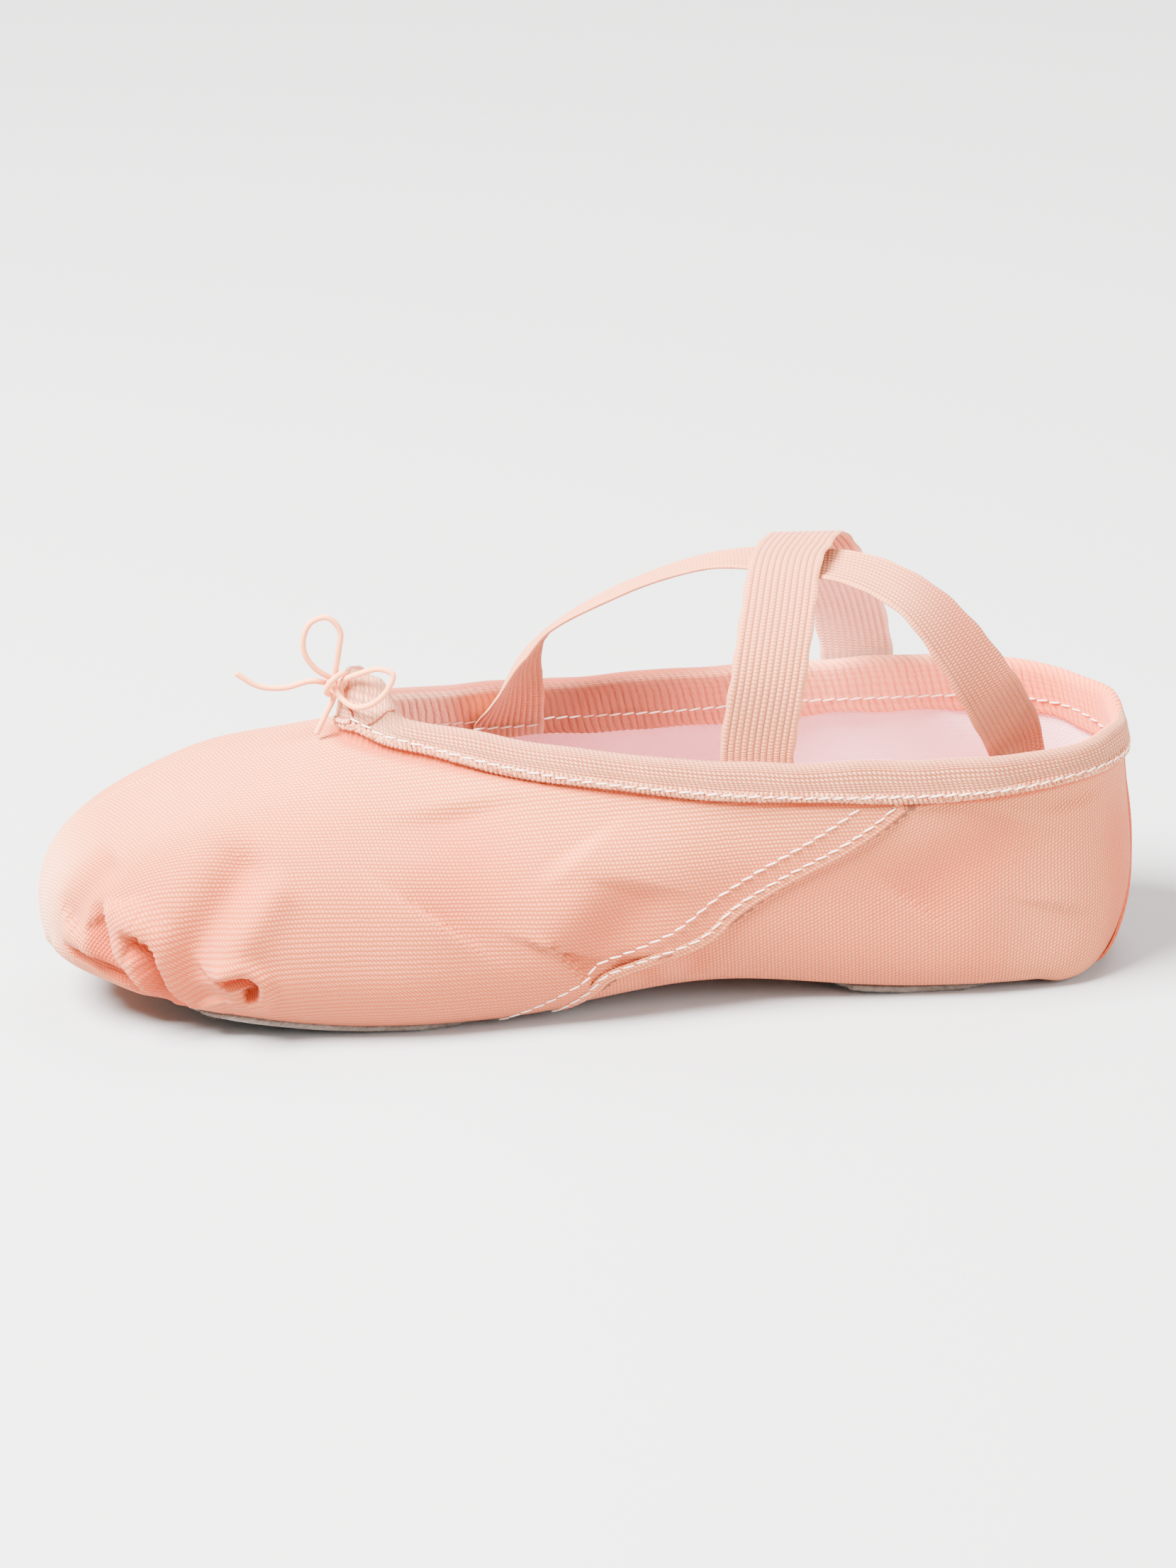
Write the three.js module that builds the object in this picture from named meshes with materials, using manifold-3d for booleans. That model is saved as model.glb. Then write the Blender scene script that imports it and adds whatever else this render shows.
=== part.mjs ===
// A split-sole ballet slipper: a canvas upper with a bound collar, two suede patches for a sole,
// an insole, two crossed elastics and the bow of the drawstring at the throat.
// Millimetres, +Z up, toe at -X, heel at +X. The floor is z = 0, under the two patches.
import * as THREE from "three";
import { mergeVertices } from "three/addons/utils/BufferGeometryUtils.js";
import Module from "manifold-3d";

const wasm = await Module();
wasm.setup();

// Driving sizes of the last
const LENGTH = 240;
const BALL_WIDTH = 78;
const INSTEP = 58.5;
const ARCH = 3.4;
const ARCH_MIDDLE = 24;
const ARCH_HALF = 48;
const SPRING_START = -48;
const SPRING_RATE = 0.0025;
const SAG = 1.2;
const SAG_FROM = 95.8;
const SAG_TO = 101.5;

// Thicknesses and fits
const WALL = 1.3;
const GAP = 0.3;
const LAP = 0.6;
const SUEDE = 1.4;
const SOCK = 1.2;
const TAPE = 0.9;
const SEAT = SUEDE + GAP;

// How finely the curved pieces are divided
const AROUND = 72;
const PATCH_AROUND = 40;
const STRAP_STEPS = 40;

// Sections round the last, from toe to heel, on the near side; the far side mirrors them.
// Places along are shares of the length, places across shares of half the ball width and
// heights shares of the instep. widest, sole and rim are the lines of greatest width, of the
// turn under the sole and of the binding's lower edge. rise is the slope of the canvas as it
// reaches the rim and lean the tilt of the band above it, in degrees. band is its height in mm
// and hem the height of the tape's outer edge on it.
const SECTIONS = [
  { widestX: -0.5, widestY: 0, widestZ: 0.34, soleX: -0.425, soleY: 0,
    rimX: -0.219, rimY: 0, rimZ: 1, rise: 8, lean: 13, band: 8.4, hem: 2.9 },
  { widestX: -0.488, widestY: 0.32, widestZ: 0.34, soleX: -0.417, soleY: 0.205,
    rimX: -0.215, rimY: 0.1, rimZ: 0.997, rise: 10, lean: 16, band: 8.4, hem: 3.3 },
  { widestX: -0.452, widestY: 0.615, widestZ: 0.34, soleX: -0.392, soleY: 0.4,
    rimX: -0.202, rimY: 0.19, rimZ: 0.988, rise: 14, lean: 20, band: 8.4, hem: 3.9 },
  { widestX: -0.383, widestY: 0.845, widestZ: 0.325, soleX: -0.342, soleY: 0.55,
    rimX: -0.175, rimY: 0.27, rimZ: 0.97, rise: 20, lean: 24, band: 8.4, hem: 2.5 },
  { widestX: -0.279, widestY: 0.975, widestZ: 0.31, soleX: -0.258, soleY: 0.67,
    rimX: -0.133, rimY: 0.36, rimZ: 0.95, rise: 32, lean: 24, band: 8.4, hem: 2.1 },
  { widestX: -0.154, widestY: 1, widestZ: 0.3, soleX: -0.15, soleY: 0.745,
    rimX: -0.062, rimY: 0.5, rimZ: 0.91, rise: 48, lean: 18, band: 8.6, hem: 1.7 },
  { widestX: -0.021, widestY: 0.925, widestZ: 0.325, soleX: -0.021, soleY: 0.655,
    rimX: 0.033, rimY: 0.64, rimZ: 0.868, rise: 66, lean: 10, band: 8.4, hem: 1.6 },
  { widestX: 0.112, widestY: 0.81, widestZ: 0.375, soleX: 0.112, soleY: 0.55,
    rimX: 0.15, rimY: 0.755, rimZ: 0.832, rise: 80, lean: 5, band: 9, hem: 1.5 },
  { widestX: 0.242, widestY: 0.78, widestZ: 0.41, soleX: 0.242, soleY: 0.565,
    rimX: 0.267, rimY: 0.795, rimZ: 0.814, rise: 86, lean: 2, band: 9.5, hem: 1.5 },
  { widestX: 0.358, widestY: 0.77, widestZ: 0.43, soleX: 0.354, soleY: 0.6,
    rimX: 0.371, rimY: 0.77, rimZ: 0.81, rise: 88, lean: 2, band: 9.2, hem: 1.5 },
  { widestX: 0.446, widestY: 0.59, widestZ: 0.43, soleX: 0.425, soleY: 0.54,
    rimX: 0.446, rimY: 0.577, rimZ: 0.814, rise: 88, lean: 2, band: 8, hem: 1.5 },
  { widestX: 0.486, widestY: 0.308, widestZ: 0.43, soleX: 0.448, soleY: 0.31,
    rimX: 0.484, rimY: 0.295, rimZ: 0.8, rise: 88, lean: 3, band: 8.4, hem: 1.5 },
  { widestX: 0.497, widestY: 0, widestZ: 0.43, soleX: 0.456, soleY: 0,
    rimX: 0.493, rimY: 0, rimZ: 0.793, rise: 88, lean: 4, band: 8.2, hem: 1.5 },
];
const FAR_LIFT = 1.2;
// Tab at the front of the binding: height above the band and the turns between which each side falls
const TAB = { tall: 7.1, near: [0.103, 0.142], far: [0.05, 0.1] };
const SPINE_FRONT = -82;
const SPINE_BACK = 97;

// Pull of each stretch of the side's curve, as shares of the chord
const TUCK = { from: 0.95, to: 1.05 };
const SWELL = { from: 1.15, to: 1.1 };

// Levels of the upper: 0 to 1 is the bottom, 1 to 2 the turn, 2 to 3 the side, above 3 the band
const LEVELS = [
  0, 0.5, 1, 1.2, 1.45, 1.7, 2, 2.15, 2.3, 2.45, 2.6, 2.75, 2.9, 3, 3.4, 3.78,
];
const LAP_LEVELS = { from: 1.3, to: 2.95 };

// Edge of the vamp where it laps over the quarter, seen from the side
const LAP_EDGE = [
  { x: -6, z: -4 },
  { x: 5, z: 9.5 },
  { x: 23, z: 16.5 },
  { x: 76, z: 53.5 },
];

// Section of the binding: height up the band, from its foot, its hem or its top, and distance out
const INSIDE = -(WALL + GAP);
const FOLD = [
  { hem: 0, out: GAP },
  { hem: 0, out: GAP + TAPE },
  { hem: 3, out: GAP + TAPE },
  { top: -1.3, out: GAP + TAPE },
  { top: -0.3, out: 0.4 },
  { top: 0, out: -WALL / 2 },
  { top: -0.3, out: -WALL - 0.4 },
  { top: -1.3, out: INSIDE - TAPE },
  { foot: 4, out: INSIDE - TAPE },
  { foot: -3, out: INSIDE - TAPE },
  { foot: -3, out: INSIDE },
  { top: -TAPE - GAP, out: INSIDE },
  { top: -TAPE - GAP, out: GAP },
];
// Slit in the front of the binding, where the drawstring comes out
const MOUTH = { x: -55.5, z: 65.5, deep: 8, wide: 1.8, tall: 5 };

// The two patches of the sole: middle, half length, half width and squareness of the outline
const FRONT_PATCH = { middle: -54, half: 42, across: 26.3, power: 2.5 };
const HEEL_PATCH = { middle: 70, half: 25.5, across: 18.5, power: 2.5 };
const PATCH_RINGS = [0, 0.45, 0.8, 1];
const MARGIN = 7;
const SOCK_SHARE = 0.92;
const SOCK_RINGS = [0, 0.5, SOCK_SHARE];

// Raised seam up the back of the heel: half width round the last, levels and height
const HEEL_SEAM = { half: 0.0045, levels: [1.45, 1.7, 2, 2.25, 2.5, 2.75, 2.93], tall: 1 };

// Elastics: width, thickness and where each end is sewn, along the shoe
const STRAP = { wide: 16, thick: 1, sewn: 4 };
const WITHIN = INSIDE - TAPE - GAP - STRAP.thick / 2;
const WITHOUT = 2 * GAP + TAPE + STRAP.thick / 2;
const OVER_ENDS = { near: 37.2, far: 62.2 };
const UNDER_ENDS = { far: -16.5, near: 95.7, clear: 1, loose: 0.5 };
const OVER_ARCH = [
  { x: 40.6, y: -25.5, z: 75, faceX: 0, faceY: -1, faceZ: 0.3 },
  { x: 43.4, y: -18.5, z: 87.2, faceX: -0.1, faceY: -0.8, faceZ: 0.6 },
  { x: 46, y: -8.5, z: 96, faceX: -0.1, faceY: -0.25, faceZ: 1 },
  { x: 48.5, y: 0, z: 96.7, faceX: 0, faceY: 0, faceZ: 1 },
  { x: 51.5, y: 9, z: 95.6, faceX: 0, faceY: 0.3, faceZ: 1 },
  { x: 55.5, y: 19, z: 86.5, faceX: 0, faceY: 0.8, faceZ: 0.6 },
  { x: 59.8, y: 28.5, z: 73.5, faceX: 0, faceY: 1, faceZ: 0.35 },
];
const UNDER_ARCH = [
  { x: -12.6, y: 7.9, z: 64.8, faceX: -0.75, faceY: 0.5, faceZ: 0.4 },
  { x: -8.9, y: 6.8, z: 72.9, faceX: -0.73, faceY: 0.24, faceZ: 0.51 },
  { x: -4.2, y: 7.2, z: 77.9, faceX: -0.62, faceY: 0.26, faceZ: 0.72 },
  { x: 8.2, y: 6.7, z: 84.6, faceX: -0.5, faceY: 0.22, faceZ: 0.86 },
  { x: 20.7, y: 5.6, z: 89.6, faceX: -0.35, faceY: 0.21, faceZ: 0.95 },
  { x: 33.1, y: 3, z: 92.9, faceX: -0.15, faceY: 0.16, faceZ: 1 },
  { x: 47.8, y: -2, z: 93.6, faceX: 0, faceY: 0, faceZ: 1 },
  { x: 62.5, y: -8.5, z: 92.7, faceX: 0.3, faceY: -0.2, faceZ: 0.95 },
  { x: 74, y: -15, z: 87.6, faceX: 0.65, faceY: -0.45, faceZ: 0.65 },
  { x: 82, y: -19.4, z: 78.5, faceX: 0.7, faceY: -0.7, faceZ: 0.4 },
  { x: 88.2, y: -21.8, z: 68.5, faceX: 0.66, faceY: -0.74, faceZ: 0.12 },
  { x: 91.8, y: -21.2, z: 61, faceX: 0.68, faceY: -0.73, faceZ: 0 },
  { x: 94.3, y: -20.2, z: 54.5, faceX: 0.72, faceY: -0.69, faceZ: 0 },
];

// The drawstring's bow: cord radius, knot and the points that each stretch follows
const CORD = 0.65;
const CORD_SIDES = 8;
const CORD_STEPS = 26;
const KNOT = { x: -53, y: -2, z: 70.8, size: 1.7 };
const BOW = {
  bow_loop_tall: [
    [-52.4, -2.4, 73.1], [-51.3, -3, 78.7], [-50.8, -3, 83], [-53.3, -3, 86.2], [-57, -3, 85.2],
    [-58.9, -3, 81.2], [-58.6, -3, 77.7], [-56.6, -2.6, 74.4], [-54.6, -2.3, 72.4],
  ],
  bow_loop_side: [
    [-50.9, -3.6, 71.5], [-47, -5.5, 73.8], [-42.5, -8, 75.6], [-39.8, -9, 74.5],
    [-41.2, -9.6, 71.2], [-44.5, -9.4, 68.2], [-48.4, -7.6, 66.9], [-51.2, -5.4, 68.1],
    [-52.3, -4.1, 69.4],
  ],
  bow_end_long: [
    [-55.2, -2, 71.2], [-58.5, -2, 71.3], [-63.8, -2, 70.1], [-69.2, -2, 70.8], [-74.2, -2, 74.2],
  ],
  bow_end_short: [
    [-52.8, -2.8, 68.6], [-54.9, -3.4, 64.2], [-57.4, -4, 59.6],
  ],
};

const UP = new THREE.Vector3(0, 0, 1);
const DOWN = new THREE.Vector3(0, 0, -1);
const STEP = 1e-3;

// The table's rows in order round the last: near side to the heel, far side back to the toe
const ROWS = [...SECTIONS.keys()];
const ROUND = [...ROWS, ...ROWS.slice(1, -1).reverse()];

function cell(name, knot) {
  const turn = ((knot % ROUND.length) + ROUND.length) % ROUND.length;
  const value = SECTIONS[ROUND[turn]][name];
  const nearSide = turn < SECTIONS.length;
  return name.endsWith("Y") && nearSide ? -value : value;
}

// A column's value at a turn of 0 to 1 round the last, on a smooth closed curve
function column(name, turn) {
  const place = turn * ROUND.length;
  const knot = Math.floor(place);
  const f = place - knot;
  const [a, b, c, d] = [-1, 0, 1, 2].map((step) => cell(name, knot + step));
  const square = 2 * a - 5 * b + 4 * c - d;
  const cube = 3 * b - a - 3 * c + d;
  return 0.5 * (2 * b + (c - a) * f + square * f ** 2 + cube * f ** 3);
}

// Height of the canvas over the floor along the middle: toe spring, flat seats, arch and sag behind
// the heel patch
function bottom(x) {
  const spring = SPRING_RATE * Math.max(0, SPRING_START - x) ** 2;
  const from = Math.min(1, Math.abs(x - ARCH_MIDDLE) / ARCH_HALF);
  const sag = SAG * THREE.MathUtils.smoothstep(x, SAG_FROM, SAG_TO);
  return SEAT + spring - sag + (ARCH / 2) * (1 + Math.cos(Math.PI * from));
}

function place(name, turn, z) {
  const x = column(name + "X", turn) * LENGTH;
  const y = (column(name + "Y", turn) * BALL_WIDTH) / 2;
  return new THREE.Vector3(x, y, z);
}

function widest(turn) {
  return place("widest", turn, column("widestZ", turn) * INSTEP);
}

function sole(turn) {
  const p = place("sole", turn, 0);
  p.z = bottom(p.x);
  return p;
}

function rim(turn) {
  const p = place("rim", turn, column("rimZ", turn) * INSTEP);
  p.z += (FAR_LIFT * Math.max(0, p.y)) / (BALL_WIDTH / 2);
  return p;
}

// Level direction across a closed line, pointing to its inside
function across(line, turn) {
  const run = line(turn + STEP).sub(line(turn - STEP)).setZ(0).normalize();
  return new THREE.Vector3(-run.y, run.x, 0);
}

function slope(level, degrees) {
  const angle = THREE.MathUtils.degToRad(degrees);
  return level.multiplyScalar(Math.cos(angle)).addScaledVector(UP, Math.sin(angle));
}

// A curve from a to b that leaves and arrives along the given directions
function sweep(a, leave, b, arrive, pull, s) {
  const chord = a.distanceTo(b);
  const out = leave.clone().multiplyScalar(chord * pull.from * (s ** 3 - 2 * s ** 2 + s));
  const home = arrive.clone().multiplyScalar(chord * pull.to * (s ** 3 - s ** 2));
  return a.clone().lerp(b, 3 * s ** 2 - 2 * s ** 3).add(out).add(home);
}

// The outer face of the upper at a turn round the last and a level from the bottom to the rim
function skin(turn, level) {
  if (level <= 1) {
    const edge = sole(turn);
    const x = THREE.MathUtils.clamp(edge.x, SPINE_FRONT, SPINE_BACK);
    const p = new THREE.Vector3(x, 0, 0).lerp(edge, level);
    p.z = bottom(p.x);
    return p;
  }
  if (level <= 2) {
    const out = across(sole, turn).negate();
    return sweep(sole(turn), out, widest(turn), UP, TUCK, level - 1);
  }
  if (level <= 3) {
    const home = slope(across(rim, turn), column("rise", turn));
    return sweep(widest(turn), UP, rim(turn), home, SWELL, level - 2);
  }
  return rim(turn).addScaledVector(bandRun(turn), (level - 3) * bandHeight(turn));
}

// Height of the band with the tab at its front
function bandHeight(turn) {
  const round = turn - Math.floor(turn);
  const near = round < 0.5;
  const fall = THREE.MathUtils.smoothstep(near ? round : 1 - round, ...(near ? TAB.near : TAB.far));
  return column("band", turn) + TAB.tall * (1 - fall);
}

// Directions of the band above the rim: up along it and out from it
function bandRun(turn) {
  return slope(across(rim, turn), 90 - column("lean", turn));
}

function bandOut(turn) {
  return rim(turn + STEP).sub(rim(turn - STEP)).cross(bandRun(turn)).normalize();
}

function band(turn, up, out) {
  return rim(turn).addScaledVector(bandRun(turn), up).addScaledVector(bandOut(turn), out);
}

function normal(turn, level) {
  if (level <= 1) return DOWN.clone();
  const round = skin(turn + STEP, level).sub(skin(turn - STEP, level));
  const rise = skin(turn, level + STEP).sub(skin(turn, level - STEP));
  return round.cross(rise).normalize();
}

function cover(turn, level, out) {
  return skin(turn, level).addScaledVector(normal(turn, level), out);
}

// A grid of points as triangles: each cell runs along the first index, then the second
function gridFaces(points, wrapFirst, wrapSecond, faces) {
  const n = points.length;
  const m = points[0].length;
  for (let i = 0; i < (wrapFirst ? n : n - 1); i++) {
    for (let j = 0; j < (wrapSecond ? m : m - 1); j++) {
      const k = (i + 1) % n;
      const l = (j + 1) % m;
      quad(faces, points[i][j], points[k][j], points[k][l], points[i][l]);
    }
  }
}

function quad(faces, a, b, c, d) {
  faces.push([a, b, c], [a, c, d]);
}

// Loose triangles as one indexed geometry with shared points and no collapsed faces
function geometry(faces) {
  const flat = faces.flat().flatMap((p) => p.toArray());
  const loose = new THREE.BufferGeometry();
  loose.setAttribute("position", new THREE.Float32BufferAttribute(flat, 3));
  const merged = mergeVertices(loose, STEP);
  const index = merged.index.array;
  const kept = [];
  for (let i = 0; i < index.length; i += 3) {
    const [a, b, c] = index.slice(i, i + 3);
    if (a !== b && b !== c && a !== c) kept.push(a, b, c);
  }
  merged.setIndex(kept);
  return merged;
}

// A wall between two grids of points. A closed wall runs round in its first index, and a
// sealed one meets itself along the start of its second.
function wall(outer, inner, { closed = false, sealed = false } = {}) {
  const faces = [];
  const n = outer.length;
  const end = outer[0].length - 1;
  gridFaces(outer, closed, false, faces);
  gridFaces(inner.map((row) => [...row].reverse()), closed, false, faces);
  for (let i = 0; i < (closed ? n : n - 1); i++) {
    const k = (i + 1) % n;
    quad(faces, outer[i][end], outer[k][end], inner[k][end], inner[i][end]);
    if (!sealed) quad(faces, outer[k][0], outer[i][0], inner[i][0], inner[k][0]);
  }
  for (let j = 0; j < end && !closed; j++) {
    quad(faces, outer[0][j], outer[0][j + 1], inner[0][j + 1], inner[0][j]);
    quad(faces, outer[n - 1][j + 1], outer[n - 1][j], inner[n - 1][j], inner[n - 1][j + 1]);
  }
  return geometry(faces);
}

const TURNS = Array.from({ length: AROUND }, (_, i) => i / AROUND);

function layer(turns, levels, out) {
  return turns.map((turn) => levels.map((level) => cover(turn, level, out(level))));
}

// Booleans
function solid(shape) {
  const bare = new THREE.BufferGeometry();
  bare.setAttribute("position", shape.getAttribute("position"));
  bare.setIndex(shape.index);
  const merged = mergeVertices(bare, STEP);
  const vertProperties = new Float32Array(merged.attributes.position.array);
  const triVerts = new Uint32Array(merged.index.array);
  return new wasm.Manifold(new wasm.Mesh({ numProp: 3, vertProperties, triVerts }));
}

function shapeOf(made) {
  const mesh = made.getMesh();
  const shape = new THREE.BufferGeometry();
  shape.setAttribute("position", new THREE.BufferAttribute(mesh.vertProperties, 3));
  shape.setIndex(new THREE.BufferAttribute(mesh.triVerts, 1));
  return shape;
}

// Outline of a patch at a turn, drawn in by a margin
function patchPoint(patch, turn, share, margin) {
  const angle = 2 * Math.PI * turn;
  const round = 2 / patch.power;
  const part = (v, half) => Math.sign(v) * Math.abs(v) ** round * (half - margin) * share;
  const x = patch.middle + part(Math.cos(angle), patch.half);
  return new THREE.Vector3(x, part(Math.sin(angle), patch.across), 0);
}

function patchLayer(patch, drop) {
  return Array.from({ length: PATCH_AROUND }, (_, i) =>
    PATCH_RINGS.map((share) => {
      const p = patchPoint(patch, i / PATCH_AROUND, share, 0);
      return p.setZ(bottom(p.x) - drop);
    }),
  );
}

function patchShape(patch) {
  const top = patchLayer(patch, GAP);
  const under = patchLayer(patch, GAP + SUEDE);
  return wall(under, top, { closed: true, sealed: true });
}

function patchOpening(patch) {
  const rim2d = Array.from({ length: PATCH_AROUND }, (_, i) => {
    const p = patchPoint(patch, i / PATCH_AROUND, 1, MARGIN);
    return new THREE.Vector2(p.x, p.y);
  });
  const plug = new THREE.ExtrudeGeometry(new THREE.Shape(rim2d), {
    depth: 4 * SEAT,
    bevelEnabled: false,
  });
  return plug.translate(0, 0, -SEAT);
}

// Everything on the toe side of the vamp's edge, as a block that runs across the shoe
function vampSide() {
  const low = LAP_EDGE[0];
  const high = LAP_EDGE[LAP_EDGE.length - 1];
  const points = LAP_EDGE.map((p) => new THREE.Vector2(p.x, p.z));
  points.push(new THREE.Vector2(high.x, 2 * INSTEP));
  points.push(new THREE.Vector2(-LENGTH, 2 * INSTEP));
  points.push(new THREE.Vector2(-LENGTH, low.z));
  const block = new THREE.ExtrudeGeometry(new THREE.Shape(points), {
    depth: 2 * BALL_WIDTH,
    bevelEnabled: false,
  });
  return block.rotateX(Math.PI / 2).translate(0, BALL_WIDTH, 0);
}

function upperShape() {
  const options = { closed: true, sealed: true };
  const inner = layer(TURNS, LEVELS, () => -WALL);
  const quarter = layer(TURNS, LEVELS, () => 0);
  const lapped = (level) => level > LAP_LEVELS.from && level < LAP_LEVELS.to;
  const vamp = layer(TURNS, LEVELS, (level) => (lapped(level) ? LAP : 0));
  let upper = solid(wall(vamp, inner, options)).intersect(solid(vampSide()));
  upper = upper.add(solid(wall(quarter, inner, options)));
  for (const patch of [FRONT_PATCH, HEEL_PATCH]) {
    upper = upper.subtract(solid(patchOpening(patch)));
  }
  return shapeOf(upper);
}

// Height up the band of a point in the section of the binding
function foldHeight(p, turn) {
  if (p.hem !== undefined) return column("hem", turn) + p.hem;
  if (p.top !== undefined) return bandHeight(turn) + p.top;
  return p.foot;
}

function bindingShape() {
  const ring = TURNS.map((turn) => FOLD.map((p) => band(turn, foldHeight(p, turn), p.out)));
  const faces = [];
  gridFaces(ring, true, true, faces);
  const slit = new THREE.BoxGeometry(MOUTH.deep, MOUTH.wide, MOUTH.tall);
  slit.translate(MOUTH.x, 0, MOUTH.z);
  return shapeOf(solid(geometry(faces)).subtract(solid(slit)));
}

function insoleShape() {
  const sheet = (lift) =>
    TURNS.map((turn) =>
      SOCK_RINGS.map((level) => {
        const p = skin(turn, level);
        return p.setZ(bottom(p.x) + lift);
      }),
    );
  const under = sheet(WALL + GAP);
  const top = sheet(WALL + GAP + SOCK);
  return wall(under, top, { closed: true, sealed: true });
}

function heelSeamShape() {
  const { half, levels, tall } = HEEL_SEAM;
  const turns = [0.5 - half, 0.5, 0.5 + half];
  return wall(layer(turns, levels, () => GAP + tall), layer(turns, levels, () => GAP));
}

// Turn at which the band stands at a place along the shoe, on the near or the far side
function turnAt(x, side) {
  let [toe, heel] = side === "near" ? [0, 0.5] : [1, 0.5];
  while (Math.abs(toe - heel) > STEP * STEP) {
    const middle = (toe + heel) / 2;
    if (rim(middle).x < x) toe = middle;
    else heel = middle;
  }
  return toe;
}

// The rows of an elastic where it is sewn to the band, from its end up to the rim or to where it turns loose
function sewnRows(x, side, out, loose) {
  const turn = turnAt(x, side);
  const face = bandOut(turn);
  const top = bandHeight(turn);
  const free = loose === undefined ? [top / 2, top + 1] : [loose];
  return [-STRAP.sewn, ...free].map((up) => ({ at: band(turn, up, out), face }));
}

function strapShape(start, arch, end) {
  const free = arch.map((p) => ({
    at: new THREE.Vector3(p.x, p.y, p.z),
    face: new THREE.Vector3(p.faceX, p.faceY, p.faceZ),
  }));
  const rows = [...start, ...free, ...end.reverse()];
  const path = new THREE.CatmullRomCurve3(rows.map((row) => row.at));
  const turning = new THREE.CatmullRomCurve3(rows.map((row) => row.face));
  const sides = [-1, 0, 1];
  const outer = [];
  const inner = [];
  for (let i = 0; i <= STRAP_STEPS; i++) {
    const s = i / STRAP_STEPS;
    const run = path.getTangent(s);
    const width = turning.getPoint(s).cross(run).normalize();
    const face = run.clone().cross(width).normalize();
    const middle = sides.map((side) => path.getPoint(s).addScaledVector(width, (side * STRAP.wide) / 2));
    outer.push(middle.map((p) => p.clone().addScaledVector(face, STRAP.thick / 2)));
    inner.push(middle.map((p) => p.clone().addScaledVector(face, -STRAP.thick / 2)));
  }
  return wall(outer, inner);
}

function cordShape(points) {
  const path = new THREE.CatmullRomCurve3(points.map((p) => new THREE.Vector3(...p)));
  const section = new THREE.Shape().absarc(0, 0, CORD, 0, 2 * Math.PI);
  const options = { steps: CORD_STEPS, extrudePath: path, curveSegments: CORD_SIDES / 2 };
  return new THREE.ExtrudeGeometry(section, options);
}

function knotShape() {
  return new THREE.IcosahedronGeometry(KNOT.size, 2).translate(KNOT.x, KNOT.y, KNOT.z);
}

// Finishes
const finish = (color, roughness) => new THREE.MeshStandardMaterial({ color, roughness, metalness: 0 });
const CANVAS = finish(0xf3d3c4, 0.9);
const BINDING_TAPE = finish(0xe4bfae, 0.85);
const SUEDE_GREY = finish(0xa08a7c, 0.95);
const LINING = finish(0xf0cfcf, 0.9);
const ELASTIC = finish(0xe7c1af, 0.75);
const DRAWSTRING = finish(0xf8e9de, 0.7);

const slipper = new THREE.Group();

function add(name, shape, material) {
  const mesh = new THREE.Mesh(shape, material.clone());
  mesh.name = name;
  slipper.add(mesh);
}

add("upper", upperShape(), CANVAS);
add("collar_binding", bindingShape(), BINDING_TAPE);
add("outsole_front", patchShape(FRONT_PATCH), SUEDE_GREY);
add("outsole_heel", patchShape(HEEL_PATCH), SUEDE_GREY);
add("insole", insoleShape(), LINING);
add("heel_seam", heelSeamShape(), CANVAS);
const overNear = sewnRows(OVER_ENDS.near, "near", WITHIN);
const overFar = sewnRows(OVER_ENDS.far, "far", WITHOUT);
add("strap_over", strapShape(overNear, OVER_ARCH, overFar), ELASTIC);
const underFar = sewnRows(UNDER_ENDS.far, "far", WITHIN - UNDER_ENDS.clear, UNDER_ENDS.loose);
const underNear = sewnRows(UNDER_ENDS.near, "near", WITHIN - UNDER_ENDS.clear, UNDER_ENDS.loose);
add("strap_under", strapShape(underFar, UNDER_ARCH, underNear), ELASTIC);
add("bow_knot", knotShape(), DRAWSTRING);
for (const [name, points] of Object.entries(BOW)) add(name, cordShape(points), DRAWSTRING);

export default slipper;
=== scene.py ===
"""Looks of a split-sole ballet slipper: pleated canvas, bound collar, suede patches, elastics and a bow.

Sizes are in millimetres until a piece is made, and metres in the meshes. Toe at -X, heel at +X, floor z = 0.
A place on the upper is a turn (0 at the toe, 0.5 at the back of the heel, near side between them)
and a level (0 middle of the bottom, 1 edge of the bottom, 2 widest line, 3 rim, above 3 the collar).
"""
import math

import bpy
import numpy as np
from mathutils import Matrix, Vector


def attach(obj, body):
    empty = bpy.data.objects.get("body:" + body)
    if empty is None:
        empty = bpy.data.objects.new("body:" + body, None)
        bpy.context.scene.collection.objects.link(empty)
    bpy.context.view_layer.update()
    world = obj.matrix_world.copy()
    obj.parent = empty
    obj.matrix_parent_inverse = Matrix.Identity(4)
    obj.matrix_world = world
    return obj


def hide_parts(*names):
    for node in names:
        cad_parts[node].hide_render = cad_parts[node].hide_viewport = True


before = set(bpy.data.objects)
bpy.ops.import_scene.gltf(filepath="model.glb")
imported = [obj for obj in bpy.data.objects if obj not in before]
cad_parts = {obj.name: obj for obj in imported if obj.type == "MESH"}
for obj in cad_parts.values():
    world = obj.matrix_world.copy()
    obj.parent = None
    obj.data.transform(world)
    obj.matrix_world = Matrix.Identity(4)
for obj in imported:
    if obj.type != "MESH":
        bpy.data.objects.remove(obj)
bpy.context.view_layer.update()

MM = 0.001

# Last of the slipper, as in the part

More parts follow.
